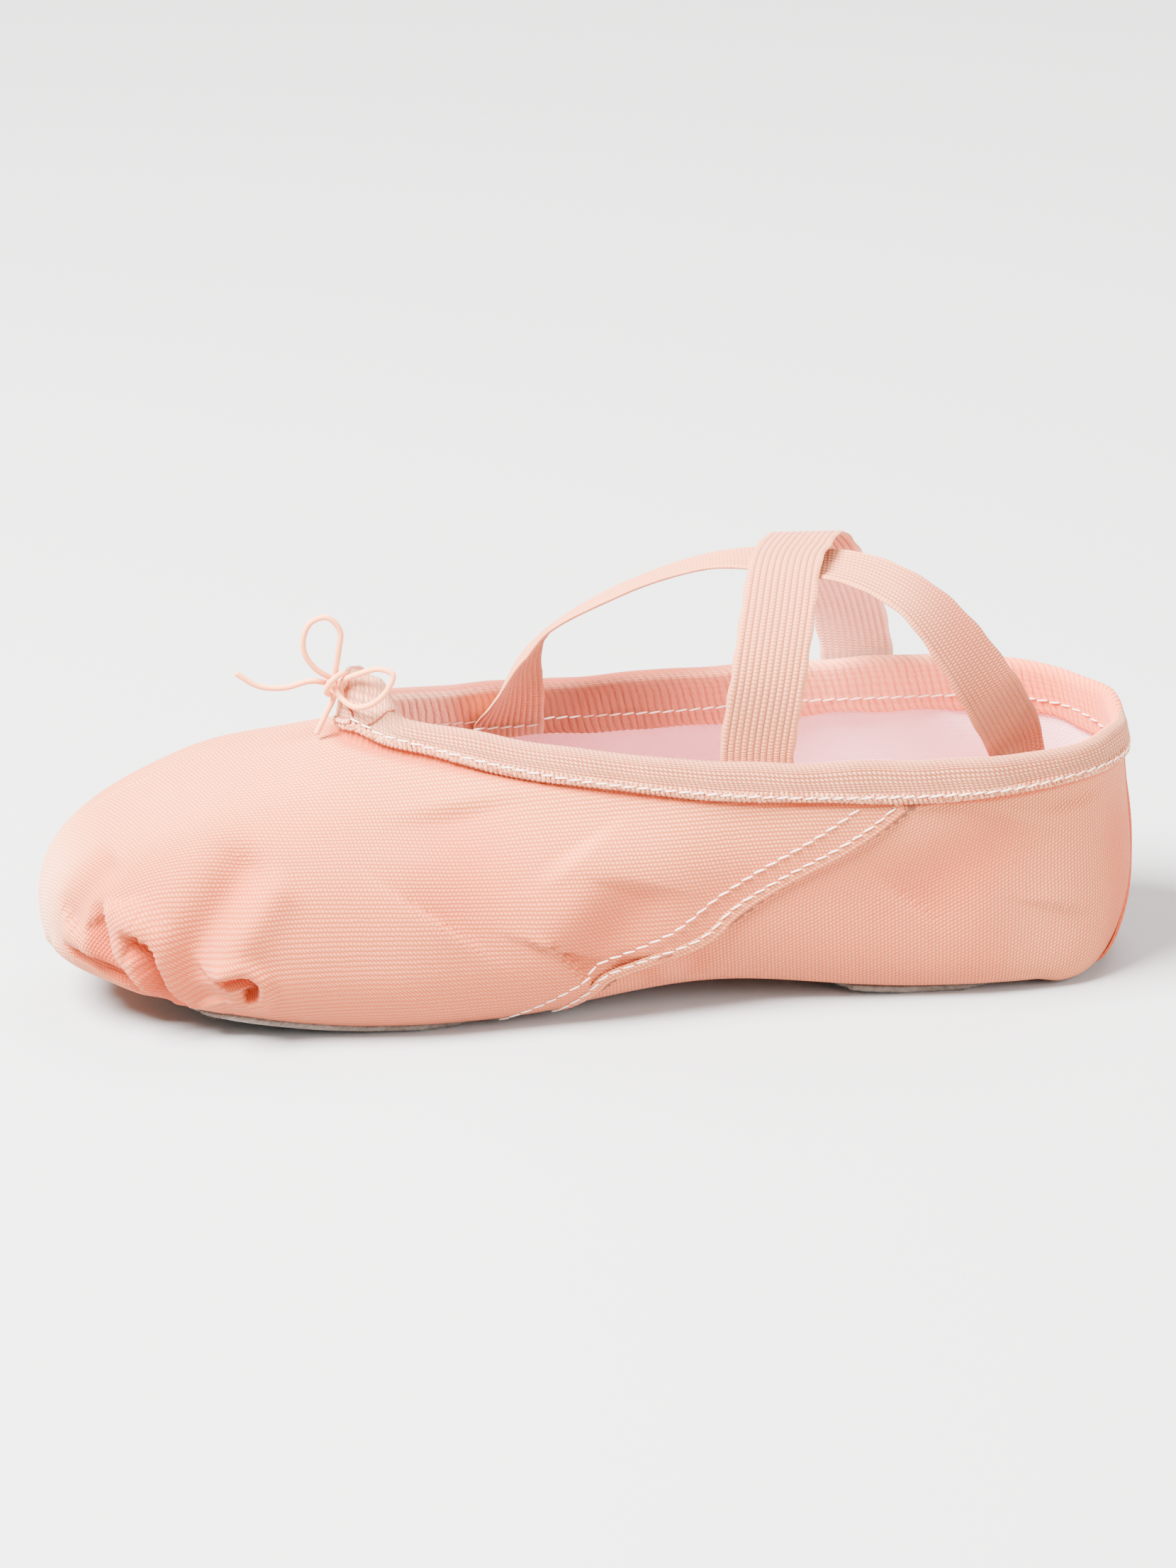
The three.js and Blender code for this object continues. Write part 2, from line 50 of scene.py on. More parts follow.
LENGTH = 240.0
BALL_WIDTH = 78.0
INSTEP = 58.5
ARCH = 3.4
ARCH_MIDDLE = 24.0
ARCH_HALF = 48.0
SPRING_START = -48.0
SPRING_RATE = 0.0025
SAG = 1.2
SAG_SPAN = (95.8, 101.5)
SEAT = 1.7
FAR_LIFT = 1.2
TAB_TALL = 7.1
TAB_NEAR = (0.103, 0.142)
TAB_FAR = (0.05, 0.1)
SPINE_FRONT = -82.0
SPINE_BACK = 97.0
TUCK = (0.95, 1.05)
SWELL = (1.15, 1.1)
WALL = 1.3
STEP = 1e-3
FINE = 1001
UP = np.array([0.0, 0.0, 1.0])

COLUMNS = ("widestX", "widestY", "widestZ", "soleX", "soleY", "rimX", "rimY", "rimZ", "rise", "lean", "band",
           "hem")
SECTIONS = (
    (-0.500, 0.000, 0.340, -0.425, 0.000, -0.219, 0.000, 1.000, 8, 13, 8.4, 2.9),
    (-0.488, 0.320, 0.340, -0.417, 0.205, -0.215, 0.100, 0.997, 10, 16, 8.4, 3.3),
    (-0.452, 0.615, 0.340, -0.392, 0.400, -0.202, 0.190, 0.988, 14, 20, 8.4, 3.9),
    (-0.383, 0.845, 0.325, -0.342, 0.550, -0.175, 0.270, 0.970, 20, 24, 8.4, 2.5),
    (-0.279, 0.975, 0.310, -0.258, 0.670, -0.133, 0.360, 0.950, 32, 24, 8.4, 2.1),
    (-0.154, 1.000, 0.300, -0.150, 0.745, -0.062, 0.500, 0.910, 48, 18, 8.6, 1.7),
    (-0.021, 0.925, 0.325, -0.021, 0.655, 0.033, 0.640, 0.868, 66, 10, 8.4, 1.6),
    (0.112, 0.810, 0.375, 0.112, 0.550, 0.150, 0.755, 0.832, 80, 5, 9.0, 1.5),
    (0.242, 0.780, 0.410, 0.242, 0.565, 0.267, 0.795, 0.814, 86, 2, 9.5, 1.5),
    (0.358, 0.770, 0.430, 0.354, 0.600, 0.371, 0.770, 0.810, 88, 2, 9.2, 1.5),
    (0.446, 0.590, 0.430, 0.425, 0.540, 0.446, 0.577, 0.814, 88, 2, 8.0, 1.5),
    (0.486, 0.308, 0.430, 0.448, 0.310, 0.484, 0.295, 0.800, 88, 3, 8.4, 1.5),
    (0.497, 0.000, 0.430, 0.456, 0.000, 0.493, 0.000, 0.793, 88, 4, 8.2, 1.5),
)


def knots():
    """The sections all the way round, near side first, the far side mirrored."""
    near = np.array(SECTIONS, float)
    far = near[-2:0:-1].copy()
    for name in ("widestY", "soleY", "rimY"):
        near[:, COLUMNS.index(name)] *= -1
    return np.vstack([near, far])


KNOTS = knots()


def column(name, turn):
    """One column of the sections at any turn, by a smooth spline."""
    values = KNOTS[:, COLUMNS.index(name)]
    at = np.asarray(turn, float) * len(values)
    k = np.floor(at).astype(int)
    f = at - k
    a, b, c, d = (values[(k + step) % len(values)] for step in (-1, 0, 1, 2))
    square = 2 * a - 5 * b + 4 * c - d
    cube = 3 * b - a - 3 * c + d
    return 0.5 * (2 * b + (c - a) * f + square * f**2 + cube * f**3)


def bottom(x):
    """Height of the canvas over the floor: toe spring, two flat seats, an arch and a sag at the heel."""
    spring = SPRING_RATE * np.maximum(0, SPRING_START - x) ** 2
    away = np.minimum(1, np.abs(x - ARCH_MIDDLE) / ARCH_HALF)
    sag = SAG * smooth(*SAG_SPAN, x)
    return SEAT + spring - sag + ARCH / 2 * (1 + np.cos(np.pi * away))


def place(name, turn, z):
    x = column(name + "X", turn) * LENGTH
    y = column(name + "Y", turn) * BALL_WIDTH / 2
    return np.stack([x, y, z + 0 * x], -1)


def widest(turn):
    return place("widest", turn, column("widestZ", turn) * INSTEP)


def sole(turn):
    p = place("sole", turn, 0.0)
    p[..., 2] = bottom(p[..., 0])
    return p


def rim(turn):
    p = place("rim", turn, column("rimZ", turn) * INSTEP)
    p[..., 2] += FAR_LIFT * np.maximum(0, p[..., 1]) / (BALL_WIDTH / 2)
    return p


def unit(v):
    return v / np.maximum(1e-12, np.linalg.norm(v, axis=-1, keepdims=True))


def across(line, turn):
    """Level direction that points into the shoe from a line round it."""
    run = line(turn + STEP) - line(turn - STEP)
    run[..., 2] = 0
    run = unit(run)
    return np.stack([-run[..., 1], run[..., 0], 0 * run[..., 0]], -1)


def slope(level, degrees):
    angle = np.radians(degrees)[..., None]
    return level * np.cos(angle) + UP * np.sin(angle)


def sweep(a, leave, b, arrive, pull, s):
    """Hermite curve between two lines."""
    s = s[..., None]
    chord = np.linalg.norm(b - a, axis=-1, keepdims=True)
    out = leave * chord * pull[0] * (s**3 - 2 * s**2 + s)
    home = arrive * chord * pull[1] * (s**3 - s**2)
    return a + (b - a) * (3 * s**2 - 2 * s**3) + out + home


def band_height(turn):
    """Height of the band with the tab at its front."""
    around = np.mod(turn, 1.0)
    near = smooth(*TAB_NEAR, around)
    far = smooth(*TAB_FAR, 1 - around)
    return column("band", turn) + TAB_TALL * (1 - np.where(around < 0.5, near, far))


def band_run(turn):
    return slope(across(rim, turn), 90 - column("lean", turn))


def band_out(turn):
    return unit(np.cross(rim(turn + STEP) - rim(turn - STEP), band_run(turn)))


def band(turn, up, out):
    """Place by the collar: up from the rim along the collar, out from its middle surface."""
    rise = band_run(turn) * np.asarray(up, float)[..., None]
    return rim(turn) + rise + band_out(turn) * np.asarray(out, float)[..., None]


def skin(turn, level):
    """The smooth outside of the upper."""
    turn, level = np.broadcast_arrays(np.asarray(turn, float), np.asarray(level, float))
    edge = sole(turn)
    spine = edge.copy()
    spine[..., 0] = np.clip(edge[..., 0], SPINE_FRONT, SPINE_BACK)
    spine[..., 1] = 0
    floor = spine + (edge - spine) * np.clip(level, 0, 1)[..., None]
    floor[..., 2] = bottom(floor[..., 0])
    turned = sweep(edge, -across(sole, turn), widest(turn), UP, TUCK, np.clip(level - 1, 0, 1))
    home = slope(across(rim, turn), column("rise", turn))
    side = sweep(widest(turn), UP, rim(turn), home, SWELL, np.clip(level - 2, 0, 1))
    top = rim(turn) + band_run(turn) * ((level - 3) * band_height(turn))[..., None]
    p = np.where((level <= 1)[..., None], floor, turned)
    p = np.where((level > 2)[..., None], side, p)
    return np.where((level > 3)[..., None], top, p)


def normal(turn, level):
    turn, level = np.broadcast_arrays(np.asarray(turn, float), np.asarray(level, float))
    around = skin(turn + STEP, level) - skin(turn - STEP, level)
    rise = skin(turn, level + STEP) - skin(turn, level - STEP)
    n = unit(np.cross(around, rise))
    return np.where((level <= 1)[..., None], -UP, n)


# Curves


def spline(points, count):
    """Centripetal curve through points, as count points of even parameter in each span."""
    p = np.asarray(points, float)
    p = np.vstack([2 * p[0] - p[1], p, 2 * p[-1] - p[-2]])
    knot = np.concatenate([[0], np.cumsum(np.linalg.norm(np.diff(p, axis=0), axis=1) ** 0.5)])
    s = np.linspace(0, len(p) - 3, count)
    k = np.minimum(s.astype(int), len(p) - 4) + 1
    t0, t1, t2, t3 = (knot[k + i][:, None] for i in (-1, 0, 1, 2))
    t = t1 + (t2 - t1) * (s - (k - 1))[:, None]
    p0, p1, p2, p3 = (p[k + i] for i in (-1, 0, 1, 2))
    a1 = p0 * (t1 - t) / (t1 - t0) + p1 * (t - t0) / (t1 - t0)
    a2 = p1 * (t2 - t) / (t2 - t1) + p2 * (t - t1) / (t2 - t1)
    a3 = p2 * (t3 - t) / (t3 - t2) + p3 * (t - t2) / (t3 - t2)
    b1 = a1 * (t2 - t) / (t2 - t0) + a2 * (t - t0) / (t2 - t0)
    b2 = a2 * (t3 - t) / (t3 - t1) + a3 * (t - t1) / (t3 - t1)
    return b1 * (t2 - t) / (t2 - t1) + b2 * (t - t1) / (t2 - t1)


def arc(points):
    """Length along a row of points, from its start."""
    return np.concatenate([[0], np.cumsum(np.linalg.norm(np.diff(points, axis=0), axis=1))])


def even(points, count):
    """The same row with its points evenly spaced."""
    run = arc(points)
    want = np.linspace(0, run[-1], count)
    return np.stack([np.interp(want, run, points[:, i]) for i in range(points.shape[1])], -1)


def smooth(edge0, edge1, x):
    t = np.clip((x - edge0) / (edge1 - edge0), 0, 1)
    return t * t * (3 - 2 * t)


def ripple(x, seed, waves):
    """A calm, irregular wave of height about 1: a number of sines of unlike length."""
    made = np.random.default_rng(seed)
    total = 0 * x
    for _ in range(waves):
        total = total + np.sin(x * made.uniform(0.5, 1.7) + made.uniform(0, 2 * np.pi))
    return total / math.sqrt(waves)


# Meshes

MERGE = 1e-6
UPRIGHT = 0.9
CORD_SIDES = 12
CORD_TIP = 0.35
THINNEST = 0.02
PILL_SIDES = 6
PILL_RINGS = ((-0.5, 0.35), (-0.42, 0.75), (-0.2, 1.0), (0.2, 1.0), (0.42, 0.75), (0.5, 0.35))


def grid(name, columns, rows, shape, cloth, tone=None, closed=False):
    """A grid laid in place by shape(u, v) in mm, with a map in mm by cloth(u, v) and a tone (mostly painted
    light and shade).
    """
    bpy.ops.object.select_all(action="DESELECT")
    bpy.ops.mesh.primitive_grid_add(x_subdivisions=columns, y_subdivisions=rows, size=1)
    piece = bpy.context.object
    piece.name = name
    mesh = piece.data
    flat = np.zeros(len(mesh.vertices) * 3)
    mesh.vertices.foreach_get("co", flat)
    u, v = (flat.reshape(-1, 3)[:, axis] + 0.5 for axis in (0, 1))
    mesh.vertices.foreach_set("co", (shape(u, v) * MM).astype(np.float32).ravel())
    corner = np.zeros(len(mesh.loops), np.int32)
    mesh.loops.foreach_get("vertex_index", corner)
    for layer in list(mesh.uv_layers):
        mesh.uv_layers.remove(layer)
    layer = mesh.uv_layers.new(name="cloth")
    layer.data.foreach_set("uv", cloth(u, v)[corner].astype(np.float32).ravel())
    level = np.zeros(len(u)) if tone is None else tone(u, v)
    mesh.attributes.new("tone", "FLOAT", "POINT").data.foreach_set("value", level.astype(np.float32))
    mesh.update()
    if closed:
        merge(piece)
    bpy.ops.object.shade_smooth()
    return piece


def merge(piece):
    """Joins the two edges of a closed grid."""
    bpy.context.view_layer.objects.active = piece
    bpy.ops.object.mode_set(mode="EDIT")
    bpy.ops.mesh.select_all(action="SELECT")
    bpy.ops.mesh.remove_doubles(threshold=MERGE)
    bpy.ops.mesh.normals_make_consistent(inside=False)
    bpy.ops.object.mode_set(mode="OBJECT")


def tube_frame(path):
    """Two cross directions along a path, carried on without twist."""
    run = unit(np.gradient(path, axis=0))
    side = np.zeros_like(path)
    first = np.cross(run[0], UP if abs(run[0][2]) < UPRIGHT else np.array([1.0, 0, 0]))
    side[0] = first / np.linalg.norm(first)
    for i in range(1, len(path)):
        s = side[i - 1] - run[i] * np.dot(side[i - 1], run[i])
        side[i] = s / np.linalg.norm(s)
    return side, np.cross(run, side)


def tube(name, path, radius, tone=None):
    """A round cord along a path, with rounded ends."""
    side, rise = tube_frame(path)
    length = arc(path)
    count = len(path) - 1

    def shape(u, v):
        at = u * count
        k = np.minimum(at.astype(int), count - 1)
        f = (at - k)[:, None]
        middle = path[k] * (1 - f) + path[k + 1] * f
        s = unit(side[k] * (1 - f) + side[k + 1] * f)
        r = unit(rise[k] * (1 - f) + rise[k + 1] * f)
        along = np.interp(at, np.arange(count + 1), length)
        end = np.minimum(along, length[-1] - along)
        thin = np.sqrt(np.clip(1 - (1 - np.clip(end / (CORD_TIP * radius), 0, 1)) ** 2, THINNEST, 1))
        turn = 2 * np.pi * v
        ring = s * np.cos(turn)[:, None] + r * np.sin(turn)[:, None]
        return middle + ring * (radius * thin)[:, None]

    def cloth(u, v):
        return np.stack([np.interp(u * count, np.arange(count + 1), length), v * 2 * np.pi * radius], -1)

    return grid(name, count, CORD_SIDES, shape, cloth, tone, closed=True)


def loose_mesh(name, points, faces):
    """A piece of many small separate shapes, from points in mm and faces."""
    mesh = bpy.data.meshes.new(name)
    mesh.from_pydata((points * MM).tolist(), [], faces)
    mesh.update()
    piece = bpy.data.objects.new(name, mesh)
    bpy.context.scene.collection.objects.link(piece)
    return piece


def pill_faces():
    """Faces of one short thread: rings of points, closed at both ends."""
    count = len(PILL_RINGS) * PILL_SIDES
    faces = []
    for i in range(len(PILL_RINGS) - 1):
        low = i * PILL_SIDES
        high = low + PILL_SIDES
        for j in range(PILL_SIDES):
            after = (j + 1) % PILL_SIDES
            faces.append((low + j, low + after, high + after, high + j))
    return faces + [tuple(range(PILL_SIDES))[::-1], tuple(range(count - PILL_SIDES, count))]


def pills(name, middles, runs, faces, long, wide, tall):
    """Many short rounded threads in one mesh: at each middle, along its run, on a surface of that face."""
    rings = np.array(PILL_RINGS)
    along = np.repeat(rings[:, 0], PILL_SIDES)
    thick = np.repeat(rings[:, 1], PILL_SIDES)
    turn = np.tile(np.arange(PILL_SIDES) * 2 * np.pi / PILL_SIDES, len(rings))
    runs = unit(runs - faces * np.sum(runs * faces, -1, keepdims=True))
    cross = np.cross(faces, runs)
    x = runs[:, None, :] * (along * long)[None, :, None]
    y = cross[:, None, :] * (np.cos(turn) * thick * wide / 2)[None, :, None]
    z = faces[:, None, :] * (np.sin(turn) * thick * tall / 2)[None, :, None]
    points = (middles[:, None, :] + x + y + z).reshape(-1, 3)
    one = pill_faces()
    built = []
    for k in range(len(middles)):
        built += [tuple(n + k * len(along) for n in face) for face in one]
    piece = loose_mesh(name, points, built)
    piece.data.polygons.foreach_set("use_smooth", np.ones(len(piece.data.polygons), bool))
    return piece


# Materials


def tint(red, green, blue):
    """A colour given as it is seen, in 0 to 255, as the renderer's linear colour (the sRGB formula)."""
    part = np.array([red, green, blue]) / 255
    line = np.where(part <= 0.04045, part / 12.92, ((part + 0.055) / 1.055) ** 2.4)
    return (*line.tolist(), 1.0)


# Roughness and sheen of each finish

FINISH = {
    "canvas": (0.9, 0.08),
    "lining": (0.9, 0.08),
    "binding": (0.9, 0.08),
    "elastic": (0.85, 0.08),
    "suede": (0.95, 0.2),
    "cord": (0.75, 0.05),
    "thread": (0.6, 0.05),
    "braid": (0.85, 0.05),
}
SHEEN_ROUGH = 0.5
SPECULAR = 0.25


class Wire:
    """An output of a shader node. Arithmetic on it adds Math nodes."""

    def __init__(self, tree, socket):
        self.tree = tree
        self.socket = socket

    def node(self, kind, feeds=None, output=0, **settings):
        """Adds any other node, with its settings and what feeds its inputs, and gives one output of it."""
        made = self.tree.nodes.new(kind)
        for key, value in settings.items():
            setattr(made, key, value)
        for key, value in (feeds or {}).items():
            plug(self.tree, made.inputs[key], value)
        return Wire(self.tree, made.outputs[output])

    def math(self, operation, *others):
        return self.node("ShaderNodeMath", dict(enumerate((self, *others))), operation=operation)

    def __add__(self, other):
        return self.math("ADD", other)

    def __sub__(self, other):
        return self.math("SUBTRACT", other)

    def __mul__(self, other):
        return self.math("MULTIPLY", other)

    def __truediv__(self, other):
        return self.math("DIVIDE", other)

    def __rsub__(self, other):
        return self.node("ShaderNodeMath", {0: other, 1: self}, operation="SUBTRACT")

    __radd__ = __add__
    __rmul__ = __mul__

    def fract(self):
        return self.math("FRACT")

    def floor(self):
        return self.math("FLOOR")

    def clamp(self):
        return self.node("ShaderNodeClamp", {"Value": self})

    def ramp(self, low, high):
        """0 at low and past it, 1 at high and past it, smooth between them; low may be the larger."""
        return self.node("ShaderNodeMapRange", {"Value": self, "From Min": low, "From Max": high},
                         interpolation_type="SMOOTHSTEP")

    def mix(self, a, b):
        """Colour a where this is 0 and b where it is 1."""
        return self.node("ShaderNodeMix", {0: self, 6: a, 7: b}, output=2, data_type="RGBA")

    def noise(self, scale, detail=2.0, rough=0.5):
        feeds = {"Vector": self, "Scale": scale, "Detail": detail, "Roughness": rough}
        return self.node("ShaderNodeTexNoise", feeds)


def plug(tree, socket, value):
    if isinstance(value, Wire):
        tree.links.new(value.socket, socket)
    else:
        socket.default_value = value


def material(name):
    """A new material: itself, its first wire (the cloth map), its object wire and its shader."""
    made = bpy.data.materials.new(name)
    made.use_nodes = True
    tree = made.node_tree
    shader = tree.nodes["Principled BSDF"]
    rough, sheen = FINISH[name]
    shader.inputs["Roughness"].default_value = rough
    shader.inputs["Sheen Weight"].default_value = sheen
    shader.inputs["Sheen Roughness"].default_value = SHEEN_ROUGH
    shader.inputs["Specular IOR Level"].default_value = SPECULAR
    start = tree.nodes.new("ShaderNodeUVMap")
    start.uv_map = "cloth"
    space = tree.nodes.new("ShaderNodeTexCoord")
    return made, Wire(tree, start.outputs[0]), Wire(tree, space.outputs["Object"]), shader


def paint(wire, shader, colour, bump=None):
    """Feeds a shader its colour and, where there is one, its bump."""
    plug(wire.tree, shader.inputs["Base Color"], colour)
    if bump is not None:
        plug(wire.tree, shader.inputs["Normal"], bump)


def split(wire):
    """The x and y of a map."""
    parts = wire.node("ShaderNodeSeparateXYZ", {0: wire})
    node = parts.socket.node
    return Wire(wire.tree, node.outputs[0]), Wire(wire.tree, node.outputs[1])


def tone_of(wire):
    return wire.node("ShaderNodeAttribute", output=2, attribute_name="tone")


def relief(wire, height, depth):
    """A bump of that depth in mm."""
    return wire.node("ShaderNodeBump", {"Height": height, "Distance": depth * MM, "Strength": 1.0})


def stripe_edge(share):
    """0 in the middle of each stripe and 1 at its edges; the stripes are 1 wide."""
    off = share.fract() - 0.5
    return (off * off * 4.0).clamp()


def grains(u, v, long, wide, shift, skew):
    """Rows of slanted rounded grains, each row shifted: 1 on a grain, 0 between them."""
    row = (v / wide).floor()
    a = (u / long + row * shift).fract() - 0.5
    b = (v / wide).fract() - 0.5
    away = a * a * GRAIN_ENDS + b * b * GRAIN_SIDES + a * b * skew
    return (1.0 - away).clamp()


# Canvas: grains as length, width, shift of each row and slant; noises as scale and detail

GRAIN_ENDS = 4.2
GRAIN_SIDES = 4.6
WEAVE = (0.87, 0.92, 0.5, 3.6)
WEAVE_SWAY = 420.0
WEAVE_CLOUD = (35.0, 3.0)
SWAY_ALONG = 0.5
SWAY_ACROSS = 0.35
SWAY_RELIEF = 0.2
WEAVE_SHARE = 0.85
CLOUD_SHARE = 0.2
WEAVE_DEEP = 0.16
CANVAS_PALE = tint(216, 146, 102)
CANVAS_DEEP = tint(182, 76, 37)
# Deeper canvas colour: painted shade in the folds, under the collar, on the lower sides and at the heel;
# also the heel welt's deeper colour
CANVAS_SHADE_AND_WELT = tint(178, 66, 30)
# Painted light: the canvas made lighter on the toe's front
CANVAS_PAINTED_LIGHT = tint(246, 190, 150)


def canvas_material():
    made, cloth, space, shader = material("canvas")
    sway = space.noise(WEAVE_SWAY)
    u, v = split(cloth)
    grain = grains(u + (sway - 0.5) * SWAY_ALONG, v + (sway - 0.5) * SWAY_ACROSS, *WEAVE)
    shade = tone_of(cloth)
    level = grain * WEAVE_SHARE + space.noise(*WEAVE_CLOUD) * CLOUD_SHARE
    base = level.clamp().mix(CANVAS_DEEP, CANVAS_PALE)
    # Tone above 0 mixes in the painted shade (on the welt, its deeper colour); below 0, the painted light
    colour = (shade * -1.0).clamp().mix(shade.clamp().mix(base, CANVAS_SHADE_AND_WELT), CANVAS_PAINTED_LIGHT)
    paint(cloth, shader, colour, relief(cloth, grain + sway * SWAY_RELIEF, WEAVE_DEEP))
    return made


# Lining

LINING_PALE = tint(252, 207, 211)
LINING_DEEP = tint(247, 184, 186)
LINING_GRAIN = (0.6, 0.6, 0.5, 0.0)
LINING_CLOUD = (60.0, 3.0)
LINING_RELIEF = 0.06


def lining_material():
    made, cloth, space, shader = material("lining")
    u, v = split(cloth)
    grain = grains(u, v, *LINING_GRAIN)
    level = (grain * 0.5 + space.noise(*LINING_CLOUD) * 0.5).clamp()
    paint(cloth, shader, level.mix(LINING_DEEP, LINING_PALE), relief(cloth, grain, LINING_RELIEF))
    return made


# Tape of the binding: knitted outside, ribbed inside; spans are places along and across the shoe in metres

TAPE_KNIT = (0.86, 1.04, 0.0, 3.6)
TAPE_PALE = tint(218, 160, 122)
TAPE_DEEP = tint(160, 70, 38)
# Painted shade in the throat's slit and groove lines
TAPE_PAINTED_SHADE = tint(130, 40, 18)
# Painted light on the tab and the rolled end of the tape
TAPE_PAINTED_LIGHT = tint(250, 204, 170)
TAPE_SWAY = 300.0
TAPE_LEAN = 0.2
KNIT_SHARE = 0.9
TAPE_NOISE = 0.12
TAPE_RELIEF = 0.22
TAPE_ROUGHEN = 0.3
TAB_GAIN = 5.0
INSIDE_FROM = 17.0
INSIDE_FADE = 1.0
INSIDE_FLAT = 0.7
FAR_OVER = 5.5
OVER_SPAN = (-0.004, 0.004)
RIB_PITCH = 1.7
RIB_SLANT = 0.38
RIB_SWAY = 0.8
RIB_TOP = 0.6
RIB_KNIT = 0.35
RIB_DEEP = 0.6
DIM_DEEP = 0.3
INSIDE_PALE = tint(244, 164, 128)
INSIDE_DEEP = tint(228, 114, 82)
# Painted shade: the inside of the binding deeper at the heel
INSIDE_HEEL_SHADE_PALE = tint(234, 124, 80)
INSIDE_HEEL_SHADE_DEEP = tint(206, 78, 42)
INSIDE_HEEL_SHADE_SPAN = (0.07, 0.1)
INSIDE_SHADE = tint(174, 106, 80)
SHADE_SPAN = (0.005, 0.05)
# Painted light: the inside lighter towards the front
INSIDE_FRONT_LIT = tint(242, 180, 150)
FRONT_SPAN = (-0.012, -0.032)
# Colour of the inside's rib grooves, and painted shade along the top of the far fold at the front
INSIDE_GROOVE_AND_SHADE = tint(150, 62, 38)
EDGE_SHADE_SPAN = (0.06, 0.02)
EDGE_SHADE_WIDTH = (INSIDE_FROM + 5.0, INSIDE_FROM + 2.0)
EDGE_SHADE_SHARE = 0.9


def tape_material():
    made, cloth, space, shader = material("binding")
    sway = space.noise(TAPE_SWAY)
    u, v = split(cloth)
    along, over = split(space)
    grain = grains(v, u + v * TAPE_LEAN + (sway - 0.5) * SWAY_ALONG, *TAPE_KNIT)
    groove = stripe_edge((u + v * RIB_SLANT + sway * RIB_SWAY) / RIB_PITCH)
    shade = tone_of(cloth)
    level = (grain * KNIT_SHARE + sway * TAPE_NOISE).clamp()
    inside = (v + over.ramp(*OVER_SPAN) * FAR_OVER).ramp(INSIDE_FROM, INSIDE_FROM + INSIDE_FADE)
    # Painted shade: deeper inside colours towards the heel
    heel = along.ramp(*INSIDE_HEEL_SHADE_SPAN)
    ribbed = (level * RIB_KNIT + RIB_TOP - groove * RIB_DEEP).clamp()
    far = ribbed.mix(heel.mix(INSIDE_DEEP, INSIDE_HEEL_SHADE_DEEP), heel.mix(INSIDE_PALE, INSIDE_HEEL_SHADE_PALE))
    # Inside: painted shade over the middle, painted light towards the front, and darker rib grooves
    dim = along.ramp(*FRONT_SPAN).mix(INSIDE_SHADE, INSIDE_FRONT_LIT)
    dim = (groove * DIM_DEEP).mix(dim, INSIDE_GROOVE_AND_SHADE)
    # Painted shade along the top of the far fold towards the front
    edge = inside * v.ramp(*EDGE_SHADE_WIDTH) * along.ramp(*EDGE_SHADE_SPAN)
    lit = (edge * EDGE_SHADE_SHARE).mix(along.ramp(*SHADE_SPAN).mix(dim, far), INSIDE_GROOVE_AND_SHADE)
    tab = (shade * -TAB_GAIN).clamp()
    plain = (level - tab * groove * RIB_DEEP).clamp()
    base = inside.mix(plain.mix(TAPE_DEEP, TAPE_PALE), lit)
    # Painted light on the tab and the rolled end; painted shade in the throat's slit and lines
    painted_light = (shade * -1.0).clamp() * (1.0 - inside)
    colour = painted_light.mix(shade.clamp().mix(base, TAPE_PAINTED_SHADE), TAPE_PAINTED_LIGHT)
    height = grain * (1.0 - inside * INSIDE_FLAT) + sway * TAPE_ROUGHEN - groove * inside
    paint(cloth, shader, colour, relief(cloth, height, TAPE_RELIEF))
    return made


# Elastic: ribs along it with loops of yarn across each

STRAP_WIDE = 16.0
RIBS = 11
STRAP_RIB = STRAP_WIDE / RIBS
LOOP_PITCH = 0.62
LOOP_SHARE = 0.3
ELASTIC_BASE = 0.8
VALLEY_DEEP = 0.95
PLAIN_SPAN = (0.012, -0.004)
PLAIN_SHARE = 0.65
SELVAGE = (0.55, 0.25)
ELASTIC_PALE = tint(200, 124, 87)
ELASTIC_DEEP = tint(118, 46, 22)
# Painted shade on the straps towards the heel
ELASTIC_SHADE = tint(142, 66, 38)
# Painted light on the under face of the far strap
ELASTIC_FAR_LIT = tint(240, 190, 165)
STRAP_HEEL_SHADE_SPAN = (0.066, 0.085)
STRAP_HEEL_SHADE_SHARE = 0.8
FAR_LIT_SPAN = (0.014, 0.022)
FAR_LIT_SHARE = 0.75
ELASTIC_RELIEF = 0.12


def elastic_material():
    made, cloth, space, shader = material("elastic")
    u, v = split(cloth)
    along, over = split(space)
    rib = v / STRAP_RIB
    loop = 1.0 - stripe_edge(u / LOOP_PITCH + rib.floor() * 0.5)
    valley = stripe_edge(rib)
    selvage = v.ramp(*SELVAGE) + (STRAP_WIDE - v).ramp(*SELVAGE)
    plain = along.ramp(*PLAIN_SPAN) * PLAIN_SHARE
    level = (loop * LOOP_SHARE + ELASTIC_BASE - valley * valley * (VALLEY_DEEP - plain) + selvage).clamp()
    base = level.mix(ELASTIC_DEEP, ELASTIC_PALE)
    # Painted shade on the straps towards the heel
    base = (along.ramp(*STRAP_HEEL_SHADE_SPAN) * STRAP_HEEL_SHADE_SHARE).mix(base, ELASTIC_SHADE)
    # Painted light on the under face of the far strap
    base = (over.ramp(*FAR_LIT_SPAN) * tone_of(cloth) * FAR_LIT_SHARE).mix(base, ELASTIC_FAR_LIT)
    paint(cloth, shader, base, relief(cloth, loop - valley, ELASTIC_RELIEF))
    return made


# Suede

SUEDE_PALE = tint(172, 156, 144)
SUEDE_DEEP = tint(84, 70, 62)
NAP_STRETCH = (1.0, 1.0, 2.5)
NAP = (900.0, 4.0, 0.65)
NAP_SHARE = 1.1
SUEDE_CLOUD = (140.0, 3.0)
SUEDE_CLOUDY = 0.5
SUEDE_DARKEN = 0.35
SUEDE_RELIEF = 0.35


